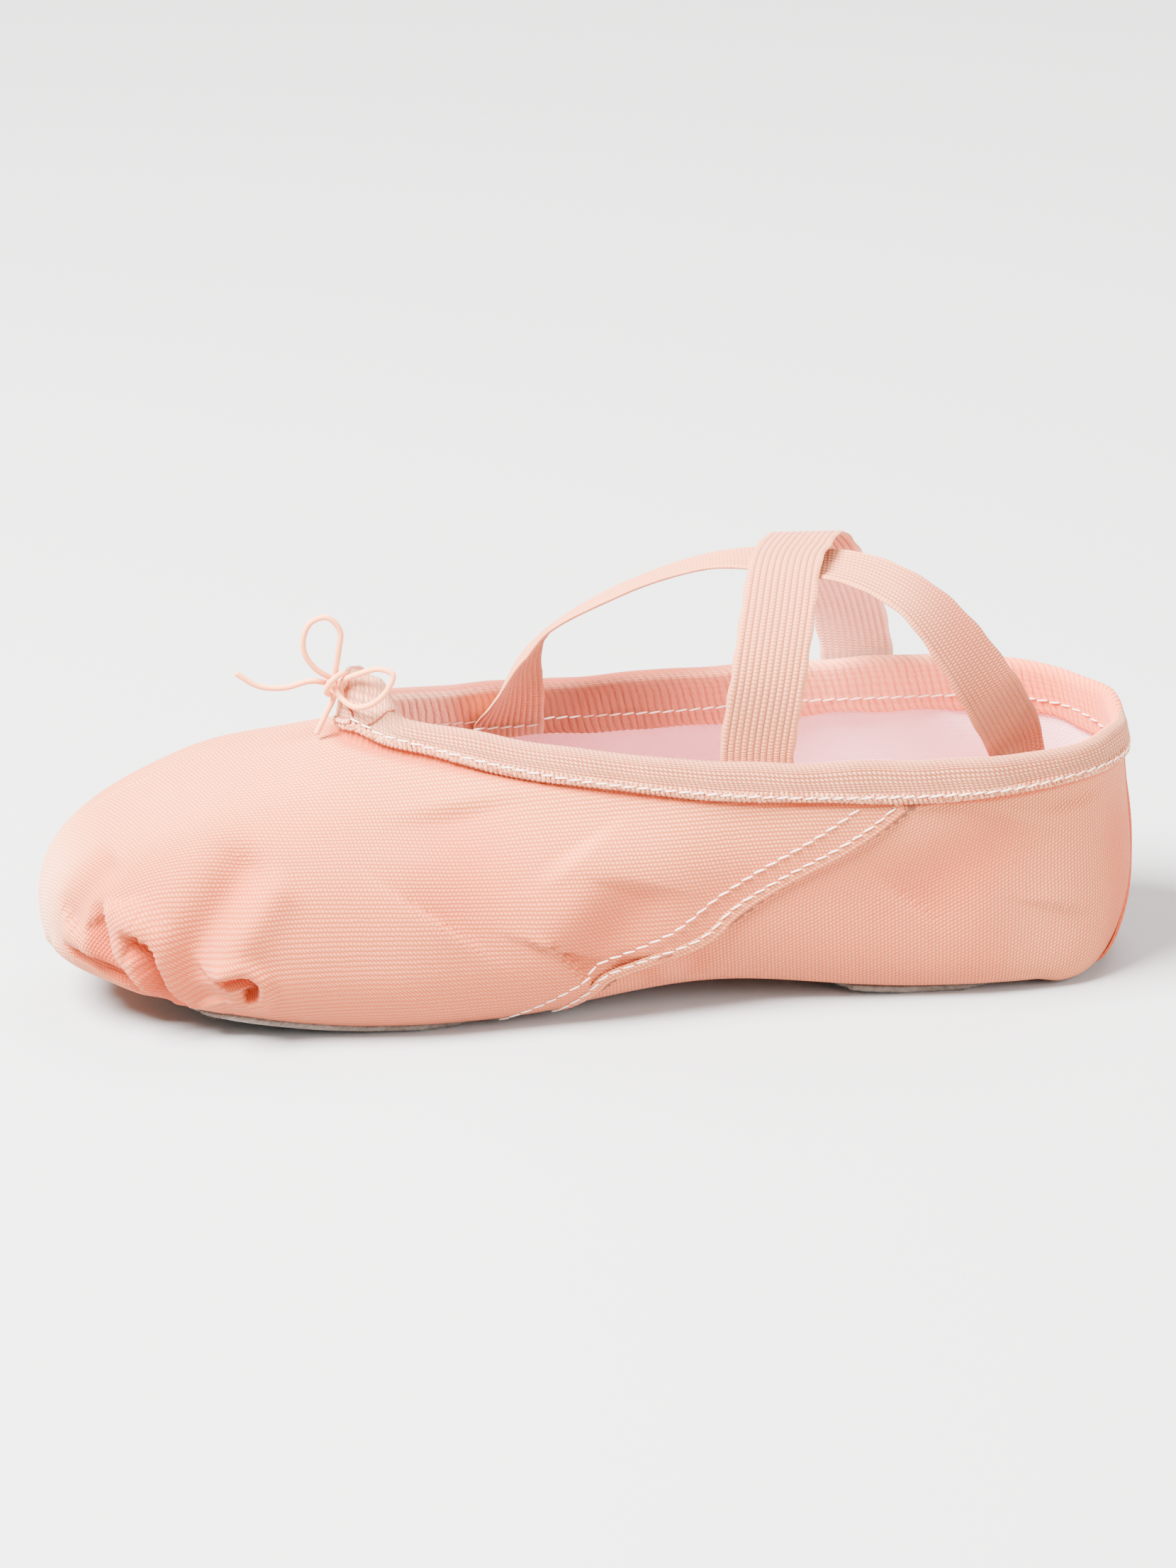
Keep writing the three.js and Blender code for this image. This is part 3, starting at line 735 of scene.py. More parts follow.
def suede_material():
    made, cloth, space, shader = material("suede")
    nap = space.node("ShaderNodeMapping", {"Vector": space, "Scale": NAP_STRETCH}).noise(*NAP)
    level = (nap * NAP_SHARE + space.noise(*SUEDE_CLOUD) * SUEDE_CLOUDY - SUEDE_DARKEN).clamp()
    paint(cloth, shader, level.mix(SUEDE_DEEP, SUEDE_PALE), relief(cloth, nap, SUEDE_RELIEF))
    return made


# Drawstring, sewing thread and the yarn of the knitted edge

CORD_PALE = tint(248, 168, 120)
CORD_DEEP = tint(214, 116, 70)
CORD_WIND = (2.6, 0.9)
CORD_RELIEF = 0.05
THREAD_PALE = tint(249, 228, 218)
THREAD_DEEP = tint(236, 196, 178)
THREAD_TWIST = 1500.0
BRAID_PALE = tint(214, 150, 112)
BRAID_DEEP = tint(170, 86, 52)
BRAID_YARN = (1400.0, 3.0)
YARN_SPAN = (0.35, 0.6)
BRAID_RELIEF = 0.12


def cord_material():
    made, cloth, _, shader = material("cord")
    u, v = split(cloth)
    level = 1.0 - stripe_edge(u * CORD_WIND[0] + v * CORD_WIND[1])
    paint(cloth, shader, level.mix(CORD_DEEP, CORD_PALE), relief(cloth, level, CORD_RELIEF))
    return made


def thread_material():
    made, cloth, space, shader = material("thread")
    paint(cloth, shader, space.noise(THREAD_TWIST).mix(THREAD_DEEP, THREAD_PALE))
    return made


def braid_material():
    made, cloth, space, shader = material("braid")
    yarn = space.noise(*BRAID_YARN)
    colour = yarn.ramp(*YARN_SPAN).mix(BRAID_DEEP, BRAID_PALE)
    paint(cloth, shader, colour, relief(cloth, yarn, BRAID_RELIEF))
    return made


CANVAS = canvas_material()
LINING = lining_material()
TAPE = tape_material()
ELASTIC = elastic_material()
SUEDE = suede_material()
CORD = cord_material()
THREAD = thread_material()
BRAIDED = braid_material()


def dress(piece, look, slot, *nodes):
    """Gives a piece its material, hides the plain pieces it stands for and fixes it to the shoe; slot is not
    used.
    """
    piece.data.materials.clear()
    piece.data.materials.append(look)
    if nodes:
        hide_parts(*nodes)
    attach(piece, "root")
    return piece


# Creases of the canvas: the near side's follow the photograph, the far side's are made up to go with them.
# A row is a side, a kind, depth and width in mm, and a path of (turn, level) that runs from the top down.
# A fold has its roll on the heel side and its pocket on the toe side.

NEAR = -1
FAR = 1
CREASES = (
    (NEAR, "fold", 3.2, 4.2, (
        (0.058, 1.99), (0.07, 1.99), (0.078, 1.97), (0.086, 1.92), (0.095, 1.81), (0.104, 1.71),
        (0.109, 1.55),
    )),
    (NEAR, "fold", 5.2, 7.0, (
        (0.083, 2.18), (0.087, 2.14), (0.091, 2.12), (0.097, 2.07), (0.099, 2.03), (0.104, 1.96),
        (0.109, 1.84), (0.111, 1.65), (0.113, 1.4), (0.113, 1.15),
    )),
    (NEAR, "fold", 5.0, 5.4, (
        (0.1, 2.09), (0.107, 2.09), (0.114, 2.07), (0.119, 2.05), (0.122, 1.99), (0.123, 1.9),
        (0.123, 1.72), (0.124, 1.5), (0.124, 1.15),
    )),
    (NEAR, "trough", 1.4, 4.0, ((0.069, 2.32), (0.071, 2.23), (0.073, 2.19), (0.071, 2.12), (0.066, 2.07))),
    (NEAR, "trough", 3.0, 6.0, (
        (0.124, 2.52), (0.128, 2.45), (0.136, 2.34), (0.139, 2.23), (0.139, 2.12), (0.136, 2.03),
        (0.131, 1.86), (0.13, 1.5),
    )),
    (NEAR, "ridge", 1.9, 5.0, (
        (0.152, 2.42), (0.153, 2.32), (0.154, 2.24), (0.153, 2.12), (0.148, 2.03), (0.142, 1.88),
    )),
    (NEAR, "fold", 4.2, 3.2, (
        (0.143, 1.9), (0.148, 1.94), (0.154, 1.97), (0.158, 1.91), (0.158, 1.8), (0.156, 1.72),
        (0.152, 1.69),
    )),
    (NEAR, "ridge", 1.3, 2.6, ((0.144, 1.64), (0.151, 1.6), (0.154, 1.54), (0.16, 1.59))),
    (NEAR, "trough", 2.1, 12.0, (
        (0.185, 2.86), (0.195, 2.74), (0.206, 2.62), (0.213, 2.41), (0.211, 2.22),
    )),
    (NEAR, "ridge", 2.1, 9.0, ((0.238, 2.66), (0.248, 2.5), (0.252, 2.36), (0.252, 2.2), (0.248, 2.0))),
    (NEAR, "trough", 2.2, 7.5, ((0.266, 2.44), (0.267, 2.3), (0.265, 2.18), (0.258, 2.02), (0.25, 1.85))),
    (NEAR, "trough", 0.9, 2.4, ((0.262, 1.8), (0.268, 1.7), (0.272, 1.5), (0.273, 1.3))),
    (NEAR, "trough", 0.8, 3.0, ((0.283, 1.8), (0.286, 1.62), (0.284, 1.4))),
    (NEAR, "ridge", 0.8, 3.0, ((0.275, 1.8), (0.278, 1.6), (0.277, 1.4))),
    (NEAR, "trough", 1.1, 9.0, ((0.38, 2.9), (0.374, 2.6), (0.362, 2.3), (0.35, 1.95))),
    (NEAR, "ridge", 0.9, 8.0, ((0.408, 2.85), (0.41, 2.5), (0.408, 2.1), (0.404, 1.8))),
    (NEAR, "fold", 2.4, 4.0, ((0.036, 1.9), (0.046, 1.72), (0.056, 1.48), (0.06, 1.2))),
    (NEAR, "fold", 2.2, 4.0, ((0.01, 1.84), (0.018, 1.64), (0.024, 1.42), (0.026, 1.2))),
    (FAR, "fold", 2.4, 4.5, ((0.014, 1.88), (0.022, 1.7), (0.028, 1.5), (0.03, 1.2))),
    (FAR, "fold", 3.0, 4.6, ((0.048, 2.06), (0.058, 1.9), (0.066, 1.66), (0.069, 1.2))),
    (FAR, "fold", 3.8, 4.6, ((0.078, 2.18), (0.09, 2.04), (0.097, 1.8), (0.098, 1.2))),
    (FAR, "fold", 4.0, 4.2, ((0.106, 2.14), (0.117, 2.02), (0.121, 1.8), (0.119, 1.2))),
    (FAR, "trough", 2.2, 6.0, ((0.136, 2.42), (0.141, 2.2), (0.139, 1.95), (0.137, 1.5))),
    (FAR, "fold", 3.0, 3.4, ((0.146, 1.94), (0.156, 1.86), (0.159, 1.7), (0.155, 1.4))),
    (FAR, "trough", 1.6, 12.0, ((0.186, 2.84), (0.196, 2.55), (0.199, 2.25))),
    (FAR, "ridge", 1.4, 9.0, ((0.236, 2.6), (0.246, 2.4), (0.25, 2.15))),
    (FAR, "trough", 0.9, 4.0, ((0.262, 1.9), (0.27, 1.66), (0.272, 1.3))),
    (FAR, "trough", 1.2, 9.0, ((0.376, 2.8), (0.368, 2.4), (0.354, 1.95))),
)
CREASE_STEPS = 28
CREASE_START = 0.16
CREASE_END = 0.97
CREASE_REACH = 3.2
FOLD_EDGE = 0.55
FOLD_SHADE = 0.8
POCKET_START = 0.3
POCKET_RIM = 0.22
POCKET_SHADE = 0.25
ROLL_TALL = 0.45
ROLL_AWAY = 0.5
ROLL_WIDE = 0.6
TROUGH_SHADE = 0.3


def crease(points, side, kind, depth, width, path):
    """Lift in mm and shade of one crease at points of the smooth skin."""
    line = spline(path, CREASE_STEPS)
    turn = line[:, 0] if side == NEAR else 1 - line[:, 0]
    mid = skin(turn, line[:, 1])
    face = normal(turn, line[:, 1])
    reach = CREASE_REACH * width
    close = np.all((points > mid.min(0) - reach) & (points < mid.max(0) + reach), axis=-1)
    p = points[close]
    best = np.full(len(p), np.inf)
    signed = np.zeros(len(p))
    along = np.zeros(len(p))
    run = arc(mid)
    for i in range(len(mid) - 1):
        leg = mid[i + 1] - mid[i]
        t = np.clip(((p - mid[i]) @ leg) / (leg @ leg), 0, 1)
        off = p - mid[i] - t[:, None] * leg
        far = np.linalg.norm(off, axis=-1)
        nearer = far < best
        way = unit(np.cross(face[i], leg)) * -side
        best = np.where(nearer, far, best)
        signed = np.where(nearer, np.where(off @ way >= 0, far, -far), signed)
        along = np.where(nearer, (run[i] + t * (run[i + 1] - run[i])) / run[-1], along)
    grow = smooth(0, CREASE_START, along) * smooth(1.0, CREASE_END, along)
    if kind == "fold":
        pocket = width * (POCKET_START + (1 - POCKET_START) * grow)
        roll = ROLL_TALL * np.exp(-(((signed - ROLL_AWAY * width) / (ROLL_WIDE * width)) ** 2))
        into = np.clip(1 + signed / pocket, 0, 1) * smooth(FOLD_EDGE, -FOLD_EDGE, signed)
        lift = depth * (roll - into)
        shade = FOLD_SHADE * smooth(0.0, POCKET_RIM, into) + POCKET_SHADE * into**3
    else:
        bell = np.exp(-((best / width) ** 2))
        lift = depth * bell * (1 if kind == "ridge" else -1)
        shade = TROUGH_SHADE * bell * (0 if kind == "ridge" else 1)
    lifts = np.zeros(len(points))
    shades = np.zeros(len(points))
    lifts[close] = lift * grow
    shades[close] = shade * grow
    return lifts, shades


# Lap of the vamp over the quarter: its two rows of stitches as (turn, level) from the collar down

LAP_ROW = (
    (0.34, 3.02), (0.338, 2.99), (0.321, 2.59), (0.309, 2.35), (0.296, 2.09), (0.284, 1.84),
    (0.269, 1.74), (0.261, 1.68), (0.255, 1.5), (0.249, 1.32), (0.244, 1.1),
)
UPPER_ROW = (
    (0.329, 3.02), (0.327, 3.0), (0.306, 2.55), (0.292, 2.23), (0.282, 2.03), (0.269, 1.9),
    (0.259, 1.83), (0.254, 1.65), (0.244, 1.46), (0.234, 1.28), (0.229, 1.1),
)
LAP_STEPS = 160
LAP_LIFT = 0.55
LAP_FADE = 0.6
LAP_EDGE = 0.006
HEM_WIDE = 2.1
BATCH = 4000


def lap_line(row, side):
    """Evenly spaced turns and levels of a row of the lap, and its points and outward directions."""
    line = spline(row, LAP_STEPS)
    turn = line[:, 0] if side == NEAR else 1 - line[:, 0]
    dense = np.column_stack([skin(turn, line[:, 1]), turn, line[:, 1]])
    dense = even(dense, LAP_STEPS)
    return dense[:, 3], dense[:, 4], dense[:, :3], normal(dense[:, 3], dense[:, 4])


def lap_way(mid, face, side):
    """Directions across the lap, from the vamp to the quarter."""
    return unit(np.cross(face, np.gradient(mid, axis=0))) * -side


def lap_lift(points, turn):
    """Step of the vamp's cloth over the quarter's."""
    total = np.zeros(len(points))
    for side in (NEAR, FAR):
        on = turn < 0.5 if side == NEAR else turn > 0.5
        _, _, mid, face = lap_line(LAP_ROW, side)
        way = lap_way(mid, face, side)
        edge = mid + way * HEM_WIDE
        chosen = np.where(on)[0]
        for start in range(0, len(chosen), BATCH):
            part = chosen[start:start + BATCH]
            gap = points[part][:, None, :] - edge[None]
            k = np.argmin(np.sum(gap**2, -1), axis=1)
            off = np.sum(gap[np.arange(len(part)), k] * way[k], -1)
            total[part] = LAP_LIFT * smooth(LAP_FADE / 2, -LAP_FADE / 2, off)
    return total


def on_vamp(turn, level):
    """Which places lie on the vamp's side of the lap's edge."""
    row = np.array(LAP_ROW)[::-1]
    return np.abs(turn) < np.interp(level, row[:, 1], row[:, 0]) + LAP_EDGE


# Canvas: how its columns and rows are spread, then the spans of level or turn over which each feature fades

AROUND = 700
RISE = 140
HALF_SPREAD = (0.0, 0.12, 0.56, 0.78, 1.0)
HALF_TURNS = (0.0, 0.045, 0.170, 0.300, 0.5)
LEVEL_SPREAD = (0.0, 0.05, 0.52, 0.90, 1.0)
LEVELS = (0.0, 1.0, 2.2, 3.0, 3.78)
HOLLOW_IN = (1.08, 1.75)
PROUD_IN = (1.3, 1.95)
COLLAR_OUT = (3.05, 2.85)
LAP_IN = (1.0, 1.2)
LAP_OUT = (3.05, 2.95)
SOFT = 0.35
SOFT_LONG = (9, 14)
SOFT_STEEP = (8, 17)
SOFT_RIPPLES = ((3, 4), (5, 3))
COLLAR_SHADE = 0.8
COLLAR_SPAN = (2.955, 2.995)
# Painted shade on the lower sides and at the back of the heel
SIDE_SHADE = 0.34
SIDE_SHADE_TOP = (2.95, 2.2)
SIDE_SHADE_LOW = (1.0, 1.3)
SIDE_SHADE_TOE = (0.06, 0.11)
SIDE_SHADE_QUARTER = (0.4, 0.37)
SIDE_SHADE_HEEL = (0.42, 0.45)
SIDE_SHADE_HEEL_GAIN = 1.4
# Painted highlight on the toe's front, kept off the folds
TOE_HIGHLIGHT = 0.62
TOE_HIGHLIGHT_TURN = (0.07, 0.03)
TOE_HIGHLIGHT_LOW = (1.1, 1.4)
TOE_HIGHLIGHT_TOP = (2.4, 2.0)
TOE_HIGHLIGHT_FOLDS = 3
FIELDS = {}


def canvas_fields(u, v):
    """Turn, from -0.5 to 0.5, and level of a place on the canvas grid."""
    half = np.abs(2 * u - 1)
    turn = np.where(u < 0.5, -1.0, 1.0) * np.interp(half, HALF_SPREAD, HALF_TURNS)
    return turn, np.interp(v, LEVEL_SPREAD, LEVELS)


def soft_wave(base):
    """Slow, shallow unevenness of the cloth."""
    x = base[:, 0]
    z = base[:, 2]
    long = ripple(x / SOFT_LONG[0] + z / SOFT_LONG[1], *SOFT_RIPPLES[0])
    steep = ripple(z / SOFT_STEEP[0] - x / SOFT_STEEP[1], *SOFT_RIPPLES[1])
    return SOFT * long * steep


def canvas_lift(turn, level):
    """Smooth skin, its outward directions, the lift in mm of all that shapes the cloth, and its painted
    shade and light: shade in the creases, a painted shadow under the collar, shade on the lower sides and
    the heel, and light on the toe's front (below 0).
    """
    base = skin(turn, level)
    lift = np.zeros(len(turn))
    shade = np.zeros(len(turn))
    for row in CREASES:
        more, dark = crease(base, *row)
        lift += more
        shade = np.maximum(shade, dark)
    lift = np.minimum(0, lift) * smooth(*HOLLOW_IN, level) + np.maximum(0, lift) * smooth(*PROUD_IN, level)
    below = smooth(*COLLAR_OUT, level)
    soft = soft_wave(base) * (smooth(*HOLLOW_IN, level) * below)
    lap = lap_lift(base, turn % 1.0) * smooth(*LAP_IN, level) * smooth(*LAP_OUT, level)
    shade = np.maximum(shade * smooth(*LAP_IN, level), COLLAR_SHADE * smooth(*COLLAR_SPAN, level))
    # Painted shade on the lower sides and the heel, and a painted highlight on the toe's front, kept off the
    # folds
    around = np.abs((turn + 0.5) % 1.0 - 0.5)
    side_shade = SIDE_SHADE * smooth(*SIDE_SHADE_TOP, level) * smooth(*SIDE_SHADE_LOW, level) * smooth(*SIDE_SHADE_TOE, around)
    side_shade = side_shade * (smooth(*SIDE_SHADE_QUARTER, around) + SIDE_SHADE_HEEL_GAIN * smooth(*SIDE_SHADE_HEEL, around))
    toe = TOE_HIGHLIGHT * smooth(*TOE_HIGHLIGHT_TURN, around) * smooth(*TOE_HIGHLIGHT_LOW, level) * smooth(*TOE_HIGHLIGHT_TOP, level)
    shade = shade + side_shade * (1 - shade) - toe * (1 - np.clip(TOE_HIGHLIGHT_FOLDS * shade, 0, 1))
    return base, normal(turn, level), lift * below + soft + lap, shade


def canvas_shape(u, v):
    base, face, lift, shade = canvas_lift(*canvas_fields(u, v))
    FIELDS["shade"] = shade
    return base + face * lift[:, None]


RAY_STEPS = 60
QUARTER_FINE = 1.15


def ray_length(turn, level):
    """Length over the skin from the rim down to a level."""
    total = np.zeros(len(turn))
    last = rim(turn)
    for k in range(1, RAY_STEPS + 1):
        here = skin(turn, 3 - (3 - np.minimum(3, level)) * k / RAY_STEPS)
        total += np.linalg.norm(here - last, axis=-1)
        last = here
    return total


def canvas_cloth(u, v):
    """Map of the cloth: the vamp laid flat along rays from the rim, the quarters unrolled."""
    turn, level = canvas_fields(u, v)
    ray = ray_length(turn, level)
    run = unit(rim(turn + STEP) - rim(turn - STEP))
    lean = np.sum(unit(widest(turn) - rim(turn)) * run, -1, keepdims=True)
    out = -across(rim, turn)
    ahead = unit(run * np.array([1, 1, 0])) * lean + out * np.sqrt(np.maximum(0, 1 - lean**2))
    vamp = (rim(turn) + ahead * ray[:, None])[:, :2]
    fine = np.linspace(-0.5, 0.5, FINE)
    girth = arc(widest(fine))
    quarter = np.stack([ray, QUARTER_FINE * np.interp(turn, fine, girth)], -1)
    p = skin(turn, level)
    side = np.where(on_vamp(turn, level)[:, None], vamp, quarter)
    return np.where((level > 1)[:, None], side, p[:, :2])


def canvas_tone(u, v):
    """Painted shade and light kept by canvas_shape for the same grid."""
    return FIELDS["shade"]


canvas = grid("canvas", AROUND, RISE, canvas_shape, canvas_cloth, canvas_tone, closed=True)
dress(canvas, CANVAS, "canvas", "upper")

# Lining inside the canvas, drawn in at the toe to clear the tucks

LINING_GRID = (220, 60)
LINING_IN = -WALL - 0.1
LINING_LOW = 0.02
LINING_TALL = 3.5
LINING_SLANT = 0.6
TOE_CLEAR = 8.0
CLEAR_TURN = (0.20, 0.16)
CLEAR_TOP = (2.75, 2.45)
CLEAR_LOW = (1.0, 1.3)


def lining_shape(u, v):
    level = LINING_LOW + LINING_TALL * v
    base, face, lift, _ = canvas_lift(u, level)
    toe = smooth(*CLEAR_TURN, np.minimum(u, 1 - u)) * smooth(*CLEAR_TOP, level) * smooth(*CLEAR_LOW, level)
    return base + face * (LINING_IN + np.minimum(0, lift) * (1 - toe) - TOE_CLEAR * toe)[:, None]


def lining_cloth(u, v):
    p = skin(u, LINING_LOW + LINING_TALL * v)
    return np.stack([p[:, 0] + LINING_SLANT * p[:, 1], p[:, 2]], -1)


lining = grid("lining", *LINING_GRID, lining_shape, lining_cloth, closed=True)
dress(lining, LINING, "lining")

# Binding: a tape folded over the rim. A row of the fold is a height in mm, the shares of the band's height
# and of the hem's that are added to it, and the distance out from the collar's middle in mm.

BIND_AROUND = 900
FOLD = (
    (-0.2, 0.0, 1.0, 0.35), (-0.2, 0.0, 1.0, 1.0), (0.4, 0.0, 1.0, 1.3), (2.2, 0.0, 1.0, 1.28),
    (0.0, 0.55, 0.0, 1.35), (-1.6, 1.0, 0.0, 1.2), (-0.5, 1.0, 0.0, 0.75), (0.05, 1.0, 0.0, -0.1),
    (0.1, 1.0, 0.0, -0.9), (-0.25, 1.0, 0.0, -1.8), (-1.3, 1.0, 0.0, -2.4), (0.0, 0.55, 0.0, -2.55),
    (0.5, 0.0, 0.0, -2.5), (-2.6, 0.0, 0.0, -2.5), (-3.1, 0.0, 0.0, -2.2), (-3.1, 0.0, 0.0, -1.7),
)
FOLD_ROWS = 42
TAPE_WIDE = 34
RUN_STEPS = 2001
RUN_HEIGHT = 0.6
RIM_WAVE = 0.28
RIM_LONG = 5.5
RIM_RIPPLE = (11, 5)
RIM_TOP = (0.2, 0.9)
OUT_WAVE = 0.18
OUT_LONG = 3.5
OUT_RIPPLE = (17, 4)
INNER_FROM = (0.75, 0.95)
INNER_WAVE = 0.3
INNER_LONG = 4.0
INNER_RIPPLE = (13, 4)
INNER_BUMP = 0.14
BUMP_PITCH = 1.6
INNER_DROP = ((0.5, 0.57, 0.61, 0.68, 0.74, 0.92, 1.0), (0.9, 0.6, 0.0, 0.0, 2.3, 2.0, 0.5))
TAB_LIGHT = 0.2
TAB_SPAN = (0.17, 0.11)


def rim_length():
    """Turns all round the collar and the length run up to each."""
    turn = np.linspace(0, 1, RUN_STEPS)
    return turn, arc(band(turn, RUN_HEIGHT * band_height(turn), 0 * turn))


RIM_TURN, RIM_RUN = rim_length()


def fold_place(turn, v):
    """Up and out of the folded tape at a share of its width."""
    share = np.linspace(0, 1, len(FOLD))
    base, top, hem, out = (np.interp(v, share, part) for part in np.array(FOLD).T)
    return base + top * band_height(turn) + hem * column("hem", turn), out


def binding_shape(u, v):
    start = np.interp(0.5, RIM_TURN, RIM_RUN)
    run = (start + u * RIM_RUN[-1]) % RIM_RUN[-1]
    turn = np.interp(run, RIM_RUN, RIM_TURN)
    rise, out = fold_place(turn, v)
    top = smooth(*RIM_TOP, rise / band_height(turn))
    rise = rise + RIM_WAVE * ripple(run / RIM_LONG, *RIM_RIPPLE) * top
    edge = INNER_WAVE * ripple(run / INNER_LONG, *INNER_RIPPLE)
    edge = edge + INNER_BUMP * np.sin(2 * np.pi * run / BUMP_PITCH)
    rise = rise + (edge - np.interp(turn, *INNER_DROP)) * smooth(*INNER_FROM, v)
    out = out + OUT_WAVE * ripple(run / OUT_LONG, *OUT_RIPPLE)
    # Painted light on the front of the binding, by the tab
    FIELDS["tape"] = -TAB_LIGHT * smooth(*TAB_SPAN, np.minimum(turn, 1 - turn))
    return band(turn, rise, out)


def binding_cloth(u, v):
    return np.stack([u * RIM_RUN[-1], TAPE_WIDE * v], -1)


def binding_tone(u, v):
    """Painted light on the tab, kept by binding_shape for the same grid."""
    return FIELDS["tape"]


binding = grid("binding", BIND_AROUND, FOLD_ROWS, binding_shape, binding_cloth, binding_tone, closed=True)
dress(binding, TAPE, "binding", "collar_binding")

# Knitted edge at the foot of the binding: a rolled strip and slanted loops of yarn over it

PICOT_GRID = (1600, 8)
PICOT_PITCH = 1.15
PICOT_DOWN = 0.15
PICOT_TALL = (0.7, 0.3)
PICOT_OUT = 0.8
PICOT_THICK = (0.4, 0.35)
PICOT_ROUND = 3.5
EDGE_WAVE = 0.25
EDGE_LONG = 9
EDGE_RIPPLE = (23, 3)
BRAID_PITCH = 1.08
BRAID_UP = 0.25
BRAID_OUT = 1.28
BRAID_WAVE = 0.2
BRAID_LEAN = 0.45
BRAID_STRAY = 0.07
LEAN_STRAY = 0.08
BRAID = (2.4, 0.95, 0.8)
BRAID_SEED = 61


def edge_wave(run):
    """Slow rise and fall of the knitted edge."""
    return ripple(run / EDGE_LONG, *EDGE_RIPPLE)


def picot_shape(u, v):
    run = u * RIM_RUN[-1]
    turn = np.interp(run, RIM_RUN, RIM_TURN)
    bump = np.abs(np.sin(np.pi * run / PICOT_PITCH))
    angle = 2 * np.pi * v
    rise = column("hem", turn) - PICOT_DOWN + EDGE_WAVE * edge_wave(run)
    rise = rise + np.cos(angle) * (PICOT_TALL[0] + PICOT_TALL[1] * bump)
    out = PICOT_OUT + np.sin(angle) * (PICOT_THICK[0] + PICOT_THICK[1] * bump)
    return band(turn, rise, out)


def picot_cloth(u, v):
    return np.stack([u * RIM_RUN[-1], PICOT_ROUND * v], -1)


def build_braid():
    count = int(RIM_RUN[-1] / BRAID_PITCH)
    run = (np.arange(count) + 0.5) * RIM_RUN[-1] / count
    made = np.random.default_rng(BRAID_SEED)
    turn = np.interp(run, RIM_RUN, RIM_TURN)
    rise = column("hem", turn) + BRAID_UP
    high = rise + BRAID_WAVE * edge_wave(run) + made.normal(0, BRAID_STRAY, count)
    at = band(turn, high, BRAID_OUT + 0 * turn)
    ahead = unit(band(turn + STEP, rise, 0 * turn) - band(turn - STEP, rise, 0 * turn))
    lean = BRAID_LEAN + made.normal(0, LEAN_STRAY, count)
    return pills("binding_braid", at, band_run(turn) - ahead * lean[:, None], band_out(turn), *BRAID)


dress(grid("binding_edge", *PICOT_GRID, picot_shape, picot_cloth, closed=True), TAPE, "binding")
dress(build_braid(), BRAIDED, "binding")

# Front of the binding: thin dark cords that paint the shade in the drawstring's slit, along the cut edge
# beside it and along the line of the rolled end, and the rolled end of the tape with painted light.
# A row is a name, radius, distance out, tone (above 0 painted shade, below 0 painted light) and a path of
# (turn, height over the rim).

THROAT_STEPS = 60
THROAT = (
    ("slit_shade", 0.26, 1.2, 1.0, ((0.021, 8.35), (0.043, 7.8), (0.062, 7.25), (0.072, 6.05))),
    ("cut_edge_shade", 0.2, 1.3, 0.7, ((0.097, 5.1), (0.107, 6.15), (0.116, 7.65), (0.123, 9.2), (0.132, 9.95))),
    ("rolled_end", 0.62, 1.5, -0.3, ((0.0, 2.9), (0.03, 3.8), (0.054, 4.3), (0.069, 5.1))),
    ("rolled_line_shade", 0.18, 1.7, 0.6, ((0.005, 3.5), (0.03, 4.45), (0.053, 4.85), (0.068, 5.55))),
)


def build_throat(name, radius, out, tone, row):
    line = spline(row, THROAT_STEPS)
    path = even(band(line[:, 0], line[:, 1], out + 0 * line[:, 0]), THROAT_STEPS)
    dress(tube("throat_" + name, path, radius, tone=lambda u, v: tone + 0 * u), TAPE, "binding")


for row in THROAT:
    build_throat(*row)

# Hem of the vamp, folded under along the lap: how far it reaches and how high it stands across its width

HEM_ROWS = 8
HEM_SHARES = (0, 0.25, 0.55, 0.75, 0.9, 1.0)
HEM_REACH = (-0.6, 0.4, 1.6, 2.2, 2.3, 2.0)
HEM_LIFT = (0.45, 0.7, 0.95, 0.75, 0.3, -0.2)
HEM_RIB = 0.06
HEM_RIBS = 110
HEM_CLOTH = 4.0


def build_hem(side, name):
    _, _, mid, face = lap_line(LAP_ROW, side)
    way = lap_way(mid, face, side)
    count = len(mid) - 1

    def shape(u, v):
        k = np.round(u * count).astype(int)
        reach = np.interp(v, HEM_SHARES, HEM_REACH)
        lift = np.interp(v, HEM_SHARES, HEM_LIFT) + HEM_RIB * np.sin(2 * np.pi * u * HEM_RIBS)
        return mid[k] + way[k] * reach[:, None] + face[k] * lift[:, None]

    def cloth(u, v):
        return np.stack([u * arc(mid)[-1], HEM_CLOTH * v], -1)

    dress(grid(name, count, HEM_ROWS, shape, cloth), CANVAS, "canvas")


build_hem(NEAR, "vamp_hem_near")
build_hem(FAR, "vamp_hem_far")

# Stitches

PITCH = 3.0
STITCH = (2.6, 0.42, 0.42)
STITCH_LEAN = 0.16
STITCH_PARTS = 8
ROW_STEPS = 700
OUTER_START = 0.067
OUTER_OUT = 1.55
OUTER_ROW = (
    (OUTER_START, 0.081, 0.096, 0.106, 0.115, 0.125, 0.139, 0.172, 0.19, 0.215, 0.23, 0.26, 0.5),
    (5.75, 5.35, 5.0, 4.55, 4.05, 3.8, 3.6, 2.85, 2.55, 2.1, 1.9, 1.95, 2.15),
)
INNER_OUT = -2.72
INNER_UP = 0.4
INNER_DOWN = 1.1
DOWN_SPAN = (0.69, 0.74)
ELASTIC_OUT = -5.0
ELASTIC_SPAN = (0.782, 0.814)
ELASTIC_STEPS = 60
LAP_STITCHED = (1.05, 2.99)
LAP_ROWS = ((LAP_ROW, 0.85), (UPPER_ROW, 0.75))


